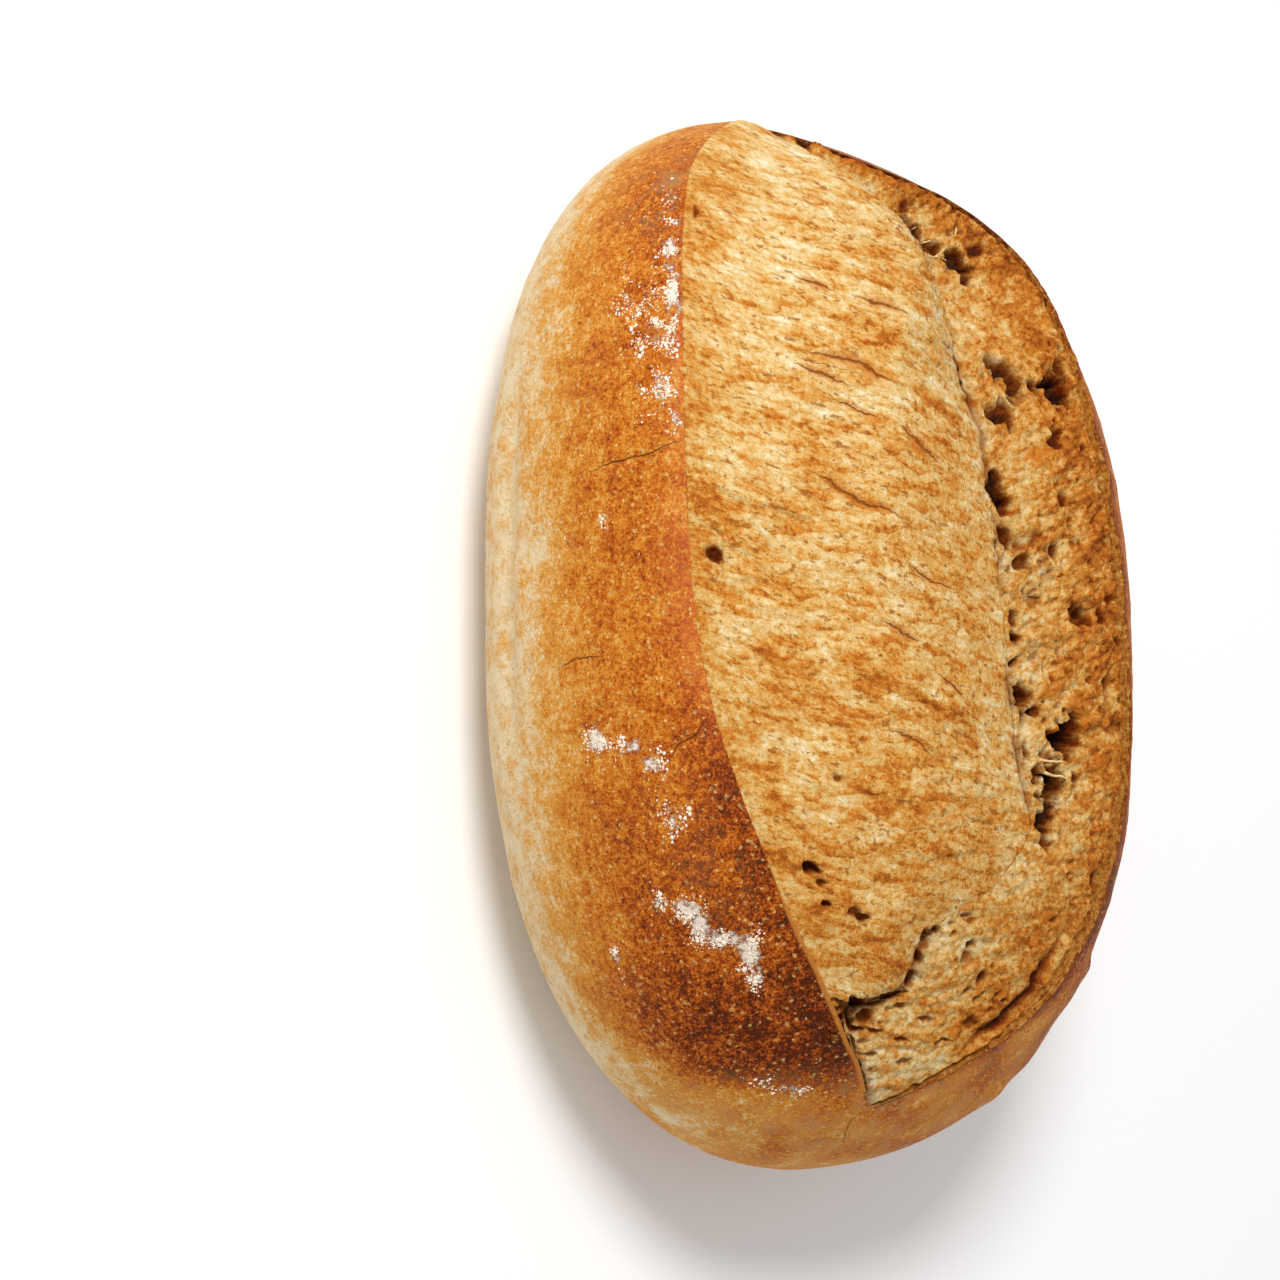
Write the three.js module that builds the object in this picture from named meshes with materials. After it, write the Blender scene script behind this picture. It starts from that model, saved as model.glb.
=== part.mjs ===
// A sourdough loaf: one oval hearth loaf, scored once along its top and burst open in the oven.
// Millimetres. X runs along the loaf, -Y is the side of the low left lip, +Y is the side of the ear,
// and +Z is up from the flat base that the loaf was baked on.

import * as THREE from 'three';
import { mergeVertices } from 'three/addons/utils/BufferGeometryUtils.js';

// ---- Driving sizes -------------------------------------------------------------------------

const LENGTH = 270;            // end to end
const LEFT_REACH = 80;         // widest reach of the left wall from the spine
const RIGHT_REACH = 92;        // widest reach of the right wall from the spine
const CROWN_HEIGHT = 118;      // top of the unscored dome
const WAIST_HEIGHT = 44;       // height at which the loaf is widest
const WAIST_DROP = 4;          // how far the waist sinks towards the +X end
const BASE_SINK = 7;           // how far below the floor the lower walls would close
const SPINE_OFFSET = -6;       // the spine's y at mid length
const SPINE_BEND_BACK = -16;   // and how far it bends by the -X end
const SPINE_BEND_FRONT = 4;    // and by the +X end

// How blunt each line is: 2 is an ellipse and a higher number is squarer.
const BLUNT = {
  leftBack: 2.4, leftFront: 2.25,
  rightBack: 3.0, rightFront: 3.2,
  topBack: 2.4, topFront: 2.1,
  foot: 3.0, upperSection: 2.5, lowerSection: 2.6,
};

// The score. Stations are angles along the loaf: x = LENGTH / 2 * sin(station), in degrees.
// A lip's value is its angle round the spine, 0 straight up and negative to the left.
const LEFT_LIP = {
  station: [-80, -76, -68, -58, -44, -30, -14, 0, 14, 30, 40, 48, 56, 62],
  value: [-24, -35, -46, -51.5, -52.5, -52.5, -52.5, -51.5, -47, -38, -30, -23, -13, -5],
};
const RIGHT_LIP = {
  station: [-80, -76, -68, -58, -44, -30, -14, 0, 14, 30, 40, 48, 56, 62],
  value: [4, 18, 33, 44, 49, 44.5, 43, 45.5, 48.5, 47, 43.5, 35, 18, -4],
};
// Where the fissure runs across the burst, as a share of the way from the left lip to the right.
const FISSURE = {
  station: [-80, -14, 0, 14, 22, 28, 32, 36, 41, 44, 50, 62],
  value: [0.68, 0.67, 0.665, 0.67, 0.69, 0.6, 0.46, 0.37, 0.31, 0.12, 0.06, 0.06],
};
// The swell of the burst crumb, the height at which both sides of the fissure meet and the
// fissure's depth, as shares of the score's width.
const SWELL = {
  station: [-80, -70, -58, -44, -14, 14, 24, 32, 38, 44, 52, 62],
  value: [0.02, 0.07, 0.12, 0.145, 0.12, 0.115, 0.095, 0.065, 0.04, 0.03, 0, 0],
};
const MERGE = {
  station: [-80, -44, -20, 14, 30, 38, 46, 62],
  value: [0, 0, 0.05, 0.06, 0.055, 0.045, 0.01, 0],
};
const FISSURE_DEPTH = {
  station: [-80, -66, -50, -14, 14, 24, 30, 36, 44, 52, 62],
  value: [0, 0.03, 0.045, 0.02, 0.015, 0.005, 0, 0.02, 0.06, 0.05, 0],
};
// Where the swell is highest, as a share of its way to the fissure: it breaks off steeply by the
// -X end and slopes down everywhere else.
const SWELL_PEAK = {
  station: [-80, -44, -20, 20, 34, 44, 62],
  value: [0.74, 0.72, 0.58, 0.52, 0.5, 0.5, 0.5],
};
const EAR_HOLLOW = 0.02;       // sag of the torn face between the fissure and the ear
const HOLLOW_DEPTH = 0.06;     // the depth of fissure at which the face sags as far as that
// Powers of the burst's curves: a higher number keeps a curve high or flat for longer.
const RISE_POWER = 0.9;        // the swell's rise from the left lip
const BREAK_POWERS = [2.4, 0.6];  // its fall where it breaks off
const SLOPE_POWER = 1.3;       // its fall where it slopes down
const SLOPE_MERGE = 0.04;      // the height of meeting at which it wholly slopes down
const MERGE_POWER = 2;         // how the swell's foot rises towards the meeting
const DIP_POWER = 6;           // how sharply the swell dips into the fissure
const SHOULDER_POWER = 2.2;    // how the torn face keeps up before it falls to the ear
const VALLEY = { wide: 1.5, narrow: 6.5, from: 24, to: 36 };  // the torn face's dip, by station

// The ear: the right lip curls up and its edge is ragged. The left lip is a low step.
const EAR_LIFT = {
  station: [-74, -60, -44, -20, 20, 44, 56, 62],
  value: [0, 3.4, 3.6, 2.2, 2.0, 1.6, 0.8, 0],
};
const LEFT_LIFT = {
  station: [-80, -10, 10, 24, 40, 50, 62],
  value: [0, 0, 0.15, 1.0, 2.0, 2.4, 0],
};
const EAR_CURL = 9;            // how far down the wall the ear's curl fades
const LEFT_CURL = 5;
const LIP_EDGE = 1.6;          // width of the step from a lip to the crumb
const LEFT_STEP = 0.4;         // the least drop from the left lip to the crumb
const LEFT_STEP_WIDTH = 14;    // how far from the lip the crumb rises again
const EAR_STEP_SHARE = 0.5;    // the drop inside the ear, as a share of its lift
const EAR_STEP_WIDTH = 8;
const RAGGED = 1.1;            // height of the ear's notches
const RAGGED_PITCH = 6;

// Torn pits in the crumb: [x, share across, half length, half width, depth].
const PITS = [
  [-104, 0.72, 7, 5, 7],
  [-97, 0.80, 6, 5, 5],
  [-66, 0.80, 6, 5, 6],
  [-64, 0.92, 6, 5, 7],
  [-55, 0.74, 5, 5, 5],
  [-34, 0.69, 5, 3.5, 7],
  [-23, 0.70, 3.5, 3, 4],
  [-4, 0.87, 4, 4, 4],
  [17, 0.69, 4, 3.5, 5],
  [27, 0.81, 6, 5, 13],
  [38, 0.77, 7, 3.5, 11],
  [50, 0.74, 8, 3, 8],
  [61, 0.08, 3.5, 3, 5],
  [71, 0.13, 5, 5, 3],
  [-14, 0.04, 2.5, 2.5, 3],
  [96, 0.06, 5, 5, 5],
];
// Long tears across the swell: [x, share across, half length across, drop].
const TEARS = [
  [-72, 0.36, 17, 1.8],
  [-84, 0.40, 9, 1.2],
  [-42, 0.42, 16, 1.5],
  [-53, 0.56, 11, 1.4],
  [-4, 0.47, 12, 1.3],
  [19, 0.40, 14, 1.6],
  [44, 0.30, 12, 1.2],
];
const TEAR_WIDTH = 3.2;
const TEAR_ARCH = 2.5;         // how far a tear's ends bend towards +X
const TEAR_REACH = 0.7;        // how soon a tear fades along its length
// Swellings and dents of the whole crust: [x, angle, half length, half width, height].
const CRUST_FORMS = [
  [-131.5, -26, 4, 5, 3.2],
  [-124, 34, 14, 16, -4],
  [131, -20, 8, 20, -2.5],
  [70, 62, 16, 8, -1.5],
  [-104, 52, 14, 8, 1.5],
  [117, 57, 4, 5, 2.0],
  [99, 62, 6, 8, -1.5],
  [84, 64, 4, 8, 1.2],
  [118, -32, 7, 12, -1.2],
];

const CRUMB_ROUGHNESS = 0.9;   // height of the crumb's lumps
const EAR_ROUGHNESS = 1.4;     // and of the torn face's, by the ear
const CRUST_ROUGHNESS = 0.45;  // and of the crust's
const CRUMB_PITCH = 7;         // size of the crumb's lumps
const FINE_SHARE = 0.5;        // the finer lumps on them are this share of their size and height
const EAR_ROUGH_WITHIN = 0.1;  // share across by which the torn face is at its roughest
const CRUST_PITCH = 16;
const CRUST_NEAR_LIP = 12;     // degrees from a lip within which the crust is calmer
const POLE_RADIUS = 12;        // the relief fades where the section is narrower than this
const CRUMB_SEED = 1.5;        // each picks out its own random lumps
const FINE_SEED = 5.5;
const NOTCH_SEED = [3.5, 0.5];
const PAST_LIP = 0.01;         // degrees beyond the right lip at which the ear's curl is read

// The mesh: stations along the loaf, and columns round it.
const STATIONS = 86;
const COLUMNS = { base: 2, leftWall: 11, score: 42, rightWall: 9 };
const LAST_SCORED_ANGLE = 0.5; // degrees of score below which the lips count as closed
const LEAST_SCORE = 12;        // the scored columns spread at least this far each side
const FOOT_LIMIT = 140;        // the foot's edge is never further round than this

const HILL_STEEPNESS = 1.5;    // how fast every hill in the relief falls
const WELD = 1e-3;             // corners closer than this are one
const LEAST_LENGTH = 1e-6;     // stands in for 0 where a length divides
const CRUST_COLOUR = 0xb8702c;

// ---- Small maths ---------------------------------------------------------------------------

const radians = (degrees) => degrees * Math.PI / 180;
const clamp = (value, low, high) => Math.min(Math.max(value, low), high);
const mix = (a, b, share) => a + (b - a) * share;

function smoothStep(from, to, value) {
  const share = clamp((value - from) / (to - from), 0, 1);
  return share * share * (3 - 2 * share);
}

// A smooth curve through a table's values, flat beyond its ends.
function along(table, station) {
  const { station: at, value } = table;
  const last = at.length - 1;
  const here = clamp(station, at[0], at[last]);
  let i = 0;
  while (i < last - 1 && here >= at[i + 1]) {
    i += 1;
  }
  const slope = (k) => {
    const before = Math.max(k - 1, 0);
    const after = Math.min(k + 1, last);
    return (value[after] - value[before]) / (at[after] - at[before]);
  };
  const span = at[i + 1] - at[i];
  const s = (here - at[i]) / span;
  return (1 + 2 * s) * (1 - s) ** 2 * value[i]
    + s * (1 - s) ** 2 * span * slope(i)
    + s * s * (3 - 2 * s) * value[i + 1]
    + s * s * (s - 1) * span * slope(i + 1);
}

// A repeatable random number from 0 to 1 for a lattice corner.
function hash(i, j, k) {
  const wave = Math.sin(i * 127.1 + j * 311.7 + k * 74.7) * 43758.5453;
  return wave - Math.floor(wave);
}

// Smooth lumps from -1 to 1 over space, one lump to a unit.
function lumps(x, y, z) {
  const cell = [x, y, z].map(Math.floor);
  const part = [x - cell[0], y - cell[1], z - cell[2]].map((s) => s * s * (3 - 2 * s));
  let sum = 0;
  for (let corner = 0; corner < 8; corner += 1) {
    const step = [corner & 1, (corner >> 1) & 1, corner >> 2];
    const weight = step.reduce((w, on, axis) => w * (on ? part[axis] : 1 - part[axis]), 1);
    sum += weight * hash(cell[0] + step[0], cell[1] + step[1], cell[2] + step[2]);
  }
  return sum * 2 - 1;
}

// A hill of height 1 that falls to 0 at about one radius and a half.
function hill(distance) {
  return Math.exp(-(distance ** 2) * HILL_STEEPNESS);
}

// ---- The unscored dome ---------------------------------------------------------------------

const fullness = (share, bluntness) => Math.sqrt(Math.max(1 - Math.abs(share) ** bluntness, 0));

// Half widths and heights of the loaf's section at a share of its half length.
function section(share) {
  const back = share < 0;
  const lowerWall = WAIST_HEIGHT + BASE_SINK;
  const bend = back ? SPINE_BEND_BACK : SPINE_BEND_FRONT;
  const topBluntness = back ? BLUNT.topBack : BLUNT.topFront;
  return {
    x: share * LENGTH / 2,
    spine: SPINE_OFFSET + bend * share * share,
    waist: WAIST_HEIGHT - (back ? 0 : WAIST_DROP * share * share),
    left: LEFT_REACH * fullness(share, back ? BLUNT.leftBack : BLUNT.leftFront),
    right: RIGHT_REACH * fullness(share, back ? BLUNT.rightBack : BLUNT.rightFront),
    above: (CROWN_HEIGHT - WAIST_HEIGHT) * fullness(share, topBluntness),
    below: lowerWall * fullness(share, BLUNT.foot),
  };
}

// The dome's point at an angle round the spine, lifted outwards and never below the floor.
function domePoint(cut, angle, lift = 0) {
  const sine = Math.sin(radians(angle));
  const cosine = Math.cos(radians(angle));
  const across = Math.max(sine < 0 ? cut.left : cut.right, LEAST_LENGTH);
  const upright = Math.max(cosine > 0 ? cut.above : cut.below, LEAST_LENGTH);
  const bluntness = cosine > 0 ? BLUNT.upperSection : BLUNT.lowerSection;
  const reach = (Math.abs(sine / across) ** bluntness
    + Math.abs(cosine / upright) ** bluntness) ** (-1 / bluntness) + lift;
  return new THREE.Vector3(cut.x, cut.spine + reach * sine, Math.max(cut.waist + reach * cosine, 0));
}

// The angle at which the lower wall meets the floor.
function footAngle(cut) {
  const drop = Math.min(cut.waist / Math.max(cut.below, LEAST_LENGTH), 1);
  const share = (1 - drop ** BLUNT.lowerSection) ** (1 / BLUNT.lowerSection);
  const angleOf = (reach) => Math.atan2(reach * share, -cut.waist) * 180 / Math.PI;
  return {
    left: -Math.min(angleOf(cut.left), FOOT_LIMIT),
    right: Math.min(angleOf(cut.right), FOOT_LIMIT),
  };
}

// ---- Relief --------------------------------------------------------------------------------

// The crust's lift at a place outside the score: curled lips, swellings and dents.
function crustLift(cut, station, angle, lips) {
  const radius = (cut.left + cut.right + cut.above) / 3;
  const pastRight = Math.max(radians(angle - lips.right) * radius, 0);
  const pastLeft = Math.max(radians(lips.left - angle) * radius, 0);
  const notches = RAGGED * lumps(cut.x / RAGGED_PITCH, ...NOTCH_SEED);
  const ear = along(EAR_LIFT, station);
  let lift = (ear + Math.min(ear, 1) * notches) * Math.exp(-pastRight / EAR_CURL);
  if (angle < lips.left || pastRight === 0) {
    lift = along(LEFT_LIFT, station) * Math.exp(-pastLeft / LEFT_CURL);
  }
  for (const [x, at, halfLength, halfWidth, height] of CRUST_FORMS) {
    const away = radians(angle - at) * radius;
    lift += height * hill(Math.hypot((cut.x - x) / halfLength, away / halfWidth));
  }
  return lift * smoothStep(0, POLE_RADIUS, radius);
}

// How high the burst stands above the line from lip to lip, as a share of that line.
function burstHeight(station, across) {
  const fissure = along(FISSURE, station);
  const depth = along(FISSURE_DEPTH, station);
  const merge = along(MERGE, station);
  if (across < fissure) {
    const share = across / fissure;
    const peak = along(SWELL_PEAK, station);
    const rise = Math.sin(Math.PI / 2 * Math.min(share / peak, 1)) ** RISE_POWER;
    const fall = Math.max((share - peak) / (1 - peak), 0);
    const broken = (1 - fall ** BREAK_POWERS[0]) ** BREAK_POWERS[1];
    const gentle = clamp(merge / SLOPE_MERGE, 0, 1);
    const swell = share < peak ? rise : mix(broken, 1 - fall ** SLOPE_POWER, gentle);
    return along(SWELL, station) * swell + merge * share ** MERGE_POWER - depth * share ** DIP_POWER;
  }
  const up = (across - fissure) / (1 - fissure);
  const hollow = EAR_HOLLOW * Math.sin(Math.PI * up) * clamp(depth / HOLLOW_DEPTH, 0, 1);
  const sharpness = mix(VALLEY.wide, VALLEY.narrow, smoothStep(VALLEY.from, VALLEY.to, station));
  return merge * (1 - up ** SHOULDER_POWER) - depth * (1 - up) ** sharpness - hollow;
}

// How far the crumb sinks at a place in the burst: pits, tears and the step under each lip.
function crumbSink(x, station, across, width) {
  let sink = 0;
  for (const [pitX, pitAcross, halfLength, halfWidth, depth] of PITS) {
    const away = (across - pitAcross) * width / halfWidth;
    sink += depth * hill(Math.hypot((x - pitX) / halfLength, away));
  }
  for (const [tearX, tearAcross, halfAcross, drop] of TEARS) {
    const away = (across - tearAcross) * width / halfAcross;
    const arch = TEAR_ARCH * away * away;
    const behind = (x - tearX - arch) / TEAR_WIDTH;
    sink += drop * hill(away * TEAR_REACH) * hill(behind);
  }
  const fromLeft = across * width;
  const fromRight = (1 - across) * width;
  const leftDrop = along(LEFT_LIFT, station) + LEFT_STEP;
  sink += leftDrop * smoothStep(0, LIP_EDGE, fromLeft) * hill(fromLeft / LEFT_STEP_WIDTH);
  const earDrop = EAR_STEP_SHARE * along(EAR_LIFT, station);
  sink += earDrop * smoothStep(0, LIP_EDGE, fromRight) * hill(fromRight / EAR_STEP_WIDTH);
  return sink;
}

// ---- The surface ---------------------------------------------------------------------------

function lipsAt(station) {
  return { left: along(LEFT_LIP, station), right: along(RIGHT_LIP, station) };
}

// A point of the torn crumb, by its share of the way across the score.
function burstPoint(cut, station, across, lips) {
  const left = domePoint(cut, lips.left, crustLift(cut, station, lips.left, lips));
  const right = domePoint(cut, lips.right, crustLift(cut, station, lips.right + PAST_LIP, lips));
  const chord = right.clone().sub(left);
  const width = Math.max(chord.length(), LEAST_LENGTH);
  const outward = new THREE.Vector3(0, -chord.z, chord.y).divideScalar(width);
  const edge = smoothStep(0, LIP_EDGE * 2, across * width)
    * smoothStep(0, LIP_EDGE * 2, (1 - across) * width);
  const point = left.clone().addScaledVector(chord, across);
  point.addScaledVector(outward, width * burstHeight(station, across));
  const fine = CRUMB_PITCH * FINE_SHARE;
  const rough = lumps(point.x / CRUMB_PITCH, point.y / CRUMB_PITCH, CRUMB_SEED)
    + FINE_SHARE * lumps(point.x / fine, point.y / fine, FINE_SEED);
  const inEar = smoothStep(0, EAR_ROUGH_WITHIN, across - along(FISSURE, station));
  const height = mix(CRUMB_ROUGHNESS, EAR_ROUGHNESS, inEar) * rough * edge;
  point.addScaledVector(outward, height - crumbSink(point.x, station, across, width));
  return point;
}

// A point of the crust outside the score, with its gentle unevenness.
function crustPoint(cut, station, angle, lips) {
  const plain = domePoint(cut, angle);
  const uneven = lumps(plain.x / CRUST_PITCH, plain.y / CRUST_PITCH, plain.z / CRUST_PITCH);
  const toLip = Math.min(Math.abs(angle - lips.left), Math.abs(angle - lips.right));
  const calm = smoothStep(0, CRUST_NEAR_LIP, toLip) * smoothStep(0, POLE_RADIUS, cut.left);
  const rough = CRUST_ROUGHNESS * uneven * calm;
  const lift = crustLift(cut, station, angle, lips) + rough;
  return domePoint(cut, angle, plain.z > 0 ? lift : 0);
}

// The angle of a column, by its number round the loaf from the middle of the base.
function columnAngle(cut, column, lips) {
  const foot = footAngle(cut);
  const middle = (lips.left + lips.right) / 2;
  const left = Math.min(lips.left, middle - LEAST_SCORE);
  const right = Math.max(lips.right, middle + LEAST_SCORE);
  const spans = [
    [COLUMNS.base, -180, foot.left],
    [COLUMNS.leftWall, foot.left, left],
    [COLUMNS.score, left, right],
    [COLUMNS.rightWall, right, foot.right],
    [COLUMNS.base, foot.right, 180],
  ];
  let first = 0;
  for (const [count, from, to] of spans) {
    if (column <= first + count) {
      return mix(from, to, (column - first) / count);
    }
    first += count;
  }
  return 180;
}

// A point of the whole surface, by its share along the loaf and its column.
function surfacePoint(share, column) {
  const cut = section(share);
  const station = Math.asin(clamp(share, -1, 1)) * 180 / Math.PI;
  const lips = lipsAt(station);
  const angle = columnAngle(cut, column, lips);
  const open = lips.right - lips.left;
  if (open > LAST_SCORED_ANGLE && angle >= lips.left && angle <= lips.right) {
    return burstPoint(cut, station, (angle - lips.left) / open, lips);
  }
  return crustPoint(cut, station, angle, lips);
}

// ---- The loaf ------------------------------------------------------------------------------

// Stations are close together at the ends, where the loaf turns under.
const shareOfStation = (s) => (5 * s - s ** 5) / 4;

function makeLoafGeometry() {
  const columns = 2 * COLUMNS.base + COLUMNS.leftWall + COLUMNS.score + COLUMNS.rightWall;
  const sphere = new THREE.SphereGeometry(1, columns, STATIONS);
  const position = sphere.attributes.position;
  for (let i = 0; i < position.count; i += 1) {
    const row = Math.floor(i / (columns + 1));
    const column = i % (columns + 1) % columns;
    const share = shareOfStation(2 * row / STATIONS - 1);
    const point = surfacePoint(share, column);
    position.setXYZ(i, point.x, point.y, point.z);
  }
  sphere.deleteAttribute('normal');
  sphere.deleteAttribute('uv');
  const closed = mergeVertices(sphere, WELD);
  closed.computeBoundingBox();
  const middle = closed.boundingBox.getCenter(new THREE.Vector3());
  closed.translate(-middle.x, -middle.y, 0);
  closed.computeVertexNormals();
  return closed;
}

const crust = new THREE.MeshStandardMaterial({ color: CRUST_COLOUR, roughness: 0.8, metalness: 0 });
const loaf = new THREE.Mesh(makeLoafGeometry(), crust);
loaf.name = 'loaf';

const group = new THREE.Group();
group.add(loaf);

export default group;
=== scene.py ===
"""A sourdough loaf: its baked crust, its burst of torn crumb, and the table it lies on.

Laid out as a Blender add-on and run as a script. Every length is in metres. X runs along the
loaf, -Y is the side of the low left lip, +Y is the side of the ear and +Z is up from the base.
"""

import math

import bpy
import numpy as np
from mathutils import Matrix, Vector


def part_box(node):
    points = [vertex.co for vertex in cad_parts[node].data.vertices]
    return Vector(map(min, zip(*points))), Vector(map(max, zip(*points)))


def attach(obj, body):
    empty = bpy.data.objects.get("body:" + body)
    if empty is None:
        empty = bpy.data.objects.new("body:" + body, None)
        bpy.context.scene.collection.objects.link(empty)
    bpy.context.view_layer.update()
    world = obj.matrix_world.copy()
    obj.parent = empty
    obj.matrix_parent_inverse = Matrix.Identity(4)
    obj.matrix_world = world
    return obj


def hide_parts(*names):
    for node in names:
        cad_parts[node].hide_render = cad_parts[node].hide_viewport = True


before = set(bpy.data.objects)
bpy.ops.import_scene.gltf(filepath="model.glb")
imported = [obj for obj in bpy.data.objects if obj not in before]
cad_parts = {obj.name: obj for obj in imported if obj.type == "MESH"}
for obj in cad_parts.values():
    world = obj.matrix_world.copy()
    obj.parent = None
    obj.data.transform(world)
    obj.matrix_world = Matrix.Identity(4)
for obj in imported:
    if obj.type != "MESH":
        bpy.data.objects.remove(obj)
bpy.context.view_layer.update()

bl_info = {
    "name": "Sourdough Loaf",
    "version": (1, 0, 0),
    "blender": (4, 5, 0),
    "location": "3D View > Sidebar > Loaf",
    "description": "Builds a scored, oven-burst sourdough loaf round its packed solid",
    "category": "Add Mesh",
}

LOAF_LOW, LOAF_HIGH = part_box("loaf")

MM = 0.001

# ---- The dome ------------------------------------------------------------------------------

LENGTH = LOAF_HIGH.x - LOAF_LOW.x
WIDTH = LOAF_HIGH.y - LOAF_LOW.y
LEFT_SHARE = 80 / 172          # the left wall's share of the width, measured from the spine
CROWN_HEIGHT = 118 * MM
WAIST_HEIGHT = 44 * MM
WAIST_DROP = 4 * MM            # how far the waist sinks towards the +X end
BASE_SINK = 7 * MM             # how far below the floor the lower walls would close
SPINE_BEND_BACK = -16 * MM     # how far the spine bends by the -X end
SPINE_BEND_FRONT = 4 * MM      # and by the +X end

# How blunt each line is: 2 is an ellipse and a higher number is squarer.
BLUNT_LEFT = (2.4, 2.25)       # towards the -X end and towards the +X end
BLUNT_RIGHT = (3.0, 3.2)
BLUNT_TOP = (2.4, 2.1)
BLUNT_FOOT = (3.0, 3.0)
BLUNT_UPPER_SECTION = 2.5
BLUNT_LOWER_SECTION = 2.6
LEAST_RADIUS = 10 * MM
TAPER = 12 * MM                # the crust's relief fades out where the loaf is thinner

# ---- The score -----------------------------------------------------------------------------
# Stations are angles along the loaf, in degrees: x = LENGTH / 2 * sin(station). A lip's angle
# goes round the spine, 0 straight up and negative to the left.

LIP_STATIONS = (-85, -80, -76, -68, -58, -44, -30, -14, 0, 14, 30, 40, 48, 56, 62)
LEFT_LIP = (-12, -24, -35, -46, -51.5, -52.5, -52.5, -52.5, -51.5, -47, -38, -30, -23, -13, -5)
RIGHT_LIP = (-12, 4, 18, 33, 44, 49, 44.5, 43, 45.5, 48.5, 47, 43.5, 35, 18, -5)
# Where the fissure runs, as a share of the way from the left lip to the right.
FISSURE_STATIONS = (-80, -14, 0, 14, 22, 28, 32, 36, 41, 44, 50, 62)
FISSURE = (0.68, 0.67, 0.665, 0.67, 0.69, 0.6, 0.46, 0.37, 0.31, 0.12, 0.06, 0.06)
# The swell of the burst crumb and the depth of the fissure, as shares of the score's width.
SWELL_STATIONS = (-80, -70, -58, -44, -14, 14, 24, 32, 38, 44, 52, 62)
SWELL = (0.02, 0.07, 0.12, 0.145, 0.12, 0.115, 0.095, 0.065, 0.04, 0.03, 0, 0)
# How high the two sides of the fissure meet, as a share of the width.
MERGE_STATIONS = (-80, -44, -20, 14, 30, 38, 46, 62)
MERGE = (0, 0, 0.05, 0.06, 0.055, 0.045, 0.01, 0)
DEPTH_STATIONS = (-80, -66, -50, -14, 14, 24, 30, 36, 44, 52, 62)
FISSURE_DEPTH = (0, 0.03, 0.045, 0.02, 0.015, 0.005, 0, 0.02, 0.06, 0.05, 0)
PEAK_STATIONS = (-80, -44, -20, 20, 34, 44, 62)
SWELL_PEAK = (0.74, 0.72, 0.58, 0.52, 0.5, 0.5, 0.5)
EAR_HOLLOW = 0.02              # sag of the torn face between the fissure and the ear
FULL_DEPTH = 0.06              # beside a fissure this deep the face sags in full
# How round the swell rises, breaks over into the fissure and meets the torn face.
RISE_POWER = 0.9
BREAK_POWERS = (2.4, 0.6)
SLOPE_POWER = 1.3
SLOPE_MERGE = 0.04             # sides that meet this high have a slope and no break
MERGE_POWER = 2
DIP_POWER = 6
SHOULDER_POWER = 2.2
VALLEY_POWERS = (1.5, 6.5)     # how narrow the fissure is, in the middle and by the +X end
VALLEY_STATIONS = (24, 36)

# How far each lip stands up from the dome.
EAR_STATIONS = (-74, -60, -44, -20, 20, 44, 56, 62)
EAR_LIFT = (0, 3.4, 3.6, 2.2, 2.0, 1.6, 0.8, 0)
STEP_STATIONS = (-80, -10, 10, 24, 40, 50, 62)
LEFT_LIFT = (0, 0, 0.15, 1.0, 2.0, 2.4, 0)
EAR_CURL = 9 * MM
LEFT_CURL = 5 * MM
SCORE_OPENS = (-80, -66)       # stations
SCORE_CLOSES = (50, 62)
RAGGED = 1.1 * MM
LEFT_RAGGED = 0.3              # the left lip's notches, as a share of the right one's
RAGGED_PITCH = 6 * MM
# How wide the crust's torn edge shows inside the ear, as a share of its usual width.
BAND_STATIONS = (-84, -40, -24, -6, 10, 40, 62)
BAND = (0.4, 0.5, 1.0, 1.2, 2.0, 2.4, 0.8)

# Swellings and dents of the whole crust: x, angle, half length, half width, height, in mm.
CRUST_FORMS = (
    (-131.5, -26, 4, 5, 3.2),
    (-124, 34, 14, 16, -4),
    (131, -20, 8, 20, -2.5),
    (70, 62, 16, 8, -1.5),
    (-104, 52, 14, 8, 1.5),
    (117, 57, 4, 5, 2.0),
    (99, 62, 6, 8, -1.5),
    (84, 64, 4, 8, 1.2),
    (118, -32, 7, 12, -1.2),
)
# Torn pits in the crumb: x, share across, half length, half width, depth, in mm.
PITS = (
    (-104, 0.72, 7, 5, 7),
    (-97, 0.80, 6, 5, 5),
    (-66, 0.80, 6, 5, 6),
    (-64, 0.92, 6, 5, 7),
    (-55, 0.74, 5, 5, 5),
    (-34, 0.69, 5, 3.5, 7),
    (-23, 0.70, 3.5, 3, 4),
    (-4, 0.87, 4, 4, 4),
    (17, 0.69, 4, 3.5, 5),
    (27, 0.81, 6, 5, 13),
    (38, 0.77, 7, 3.5, 11),
    (50, 0.74, 8, 3, 8),
    (61, 0.08, 1.9, 2.6, 4),
    (71, 0.15, 1.8, 2.4, 2.2),
    (-14, 0.04, 2.5, 2.5, 3),
    (96, 0.06, 5, 5, 5),
)
# Long tears across the swell: x, share across, half length across, drop, in mm.
TEARS = (
    (-72, 0.36, 17, 1.8),
    (-84, 0.40, 9, 1.2),
    (-42, 0.42, 16, 1.5),
    (-53, 0.56, 11, 1.4),
    (-4, 0.47, 12, 1.3),
    (19, 0.40, 14, 1.6),
    (44, 0.30, 12, 1.2),
)

# ---- Small maths, on arrays ----------------------------------------------------------------


def smooth_step(low, high, value):
    share = np.clip((value - low) / (high - low), 0, 1)
    return share * share * (3 - 2 * share)


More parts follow.
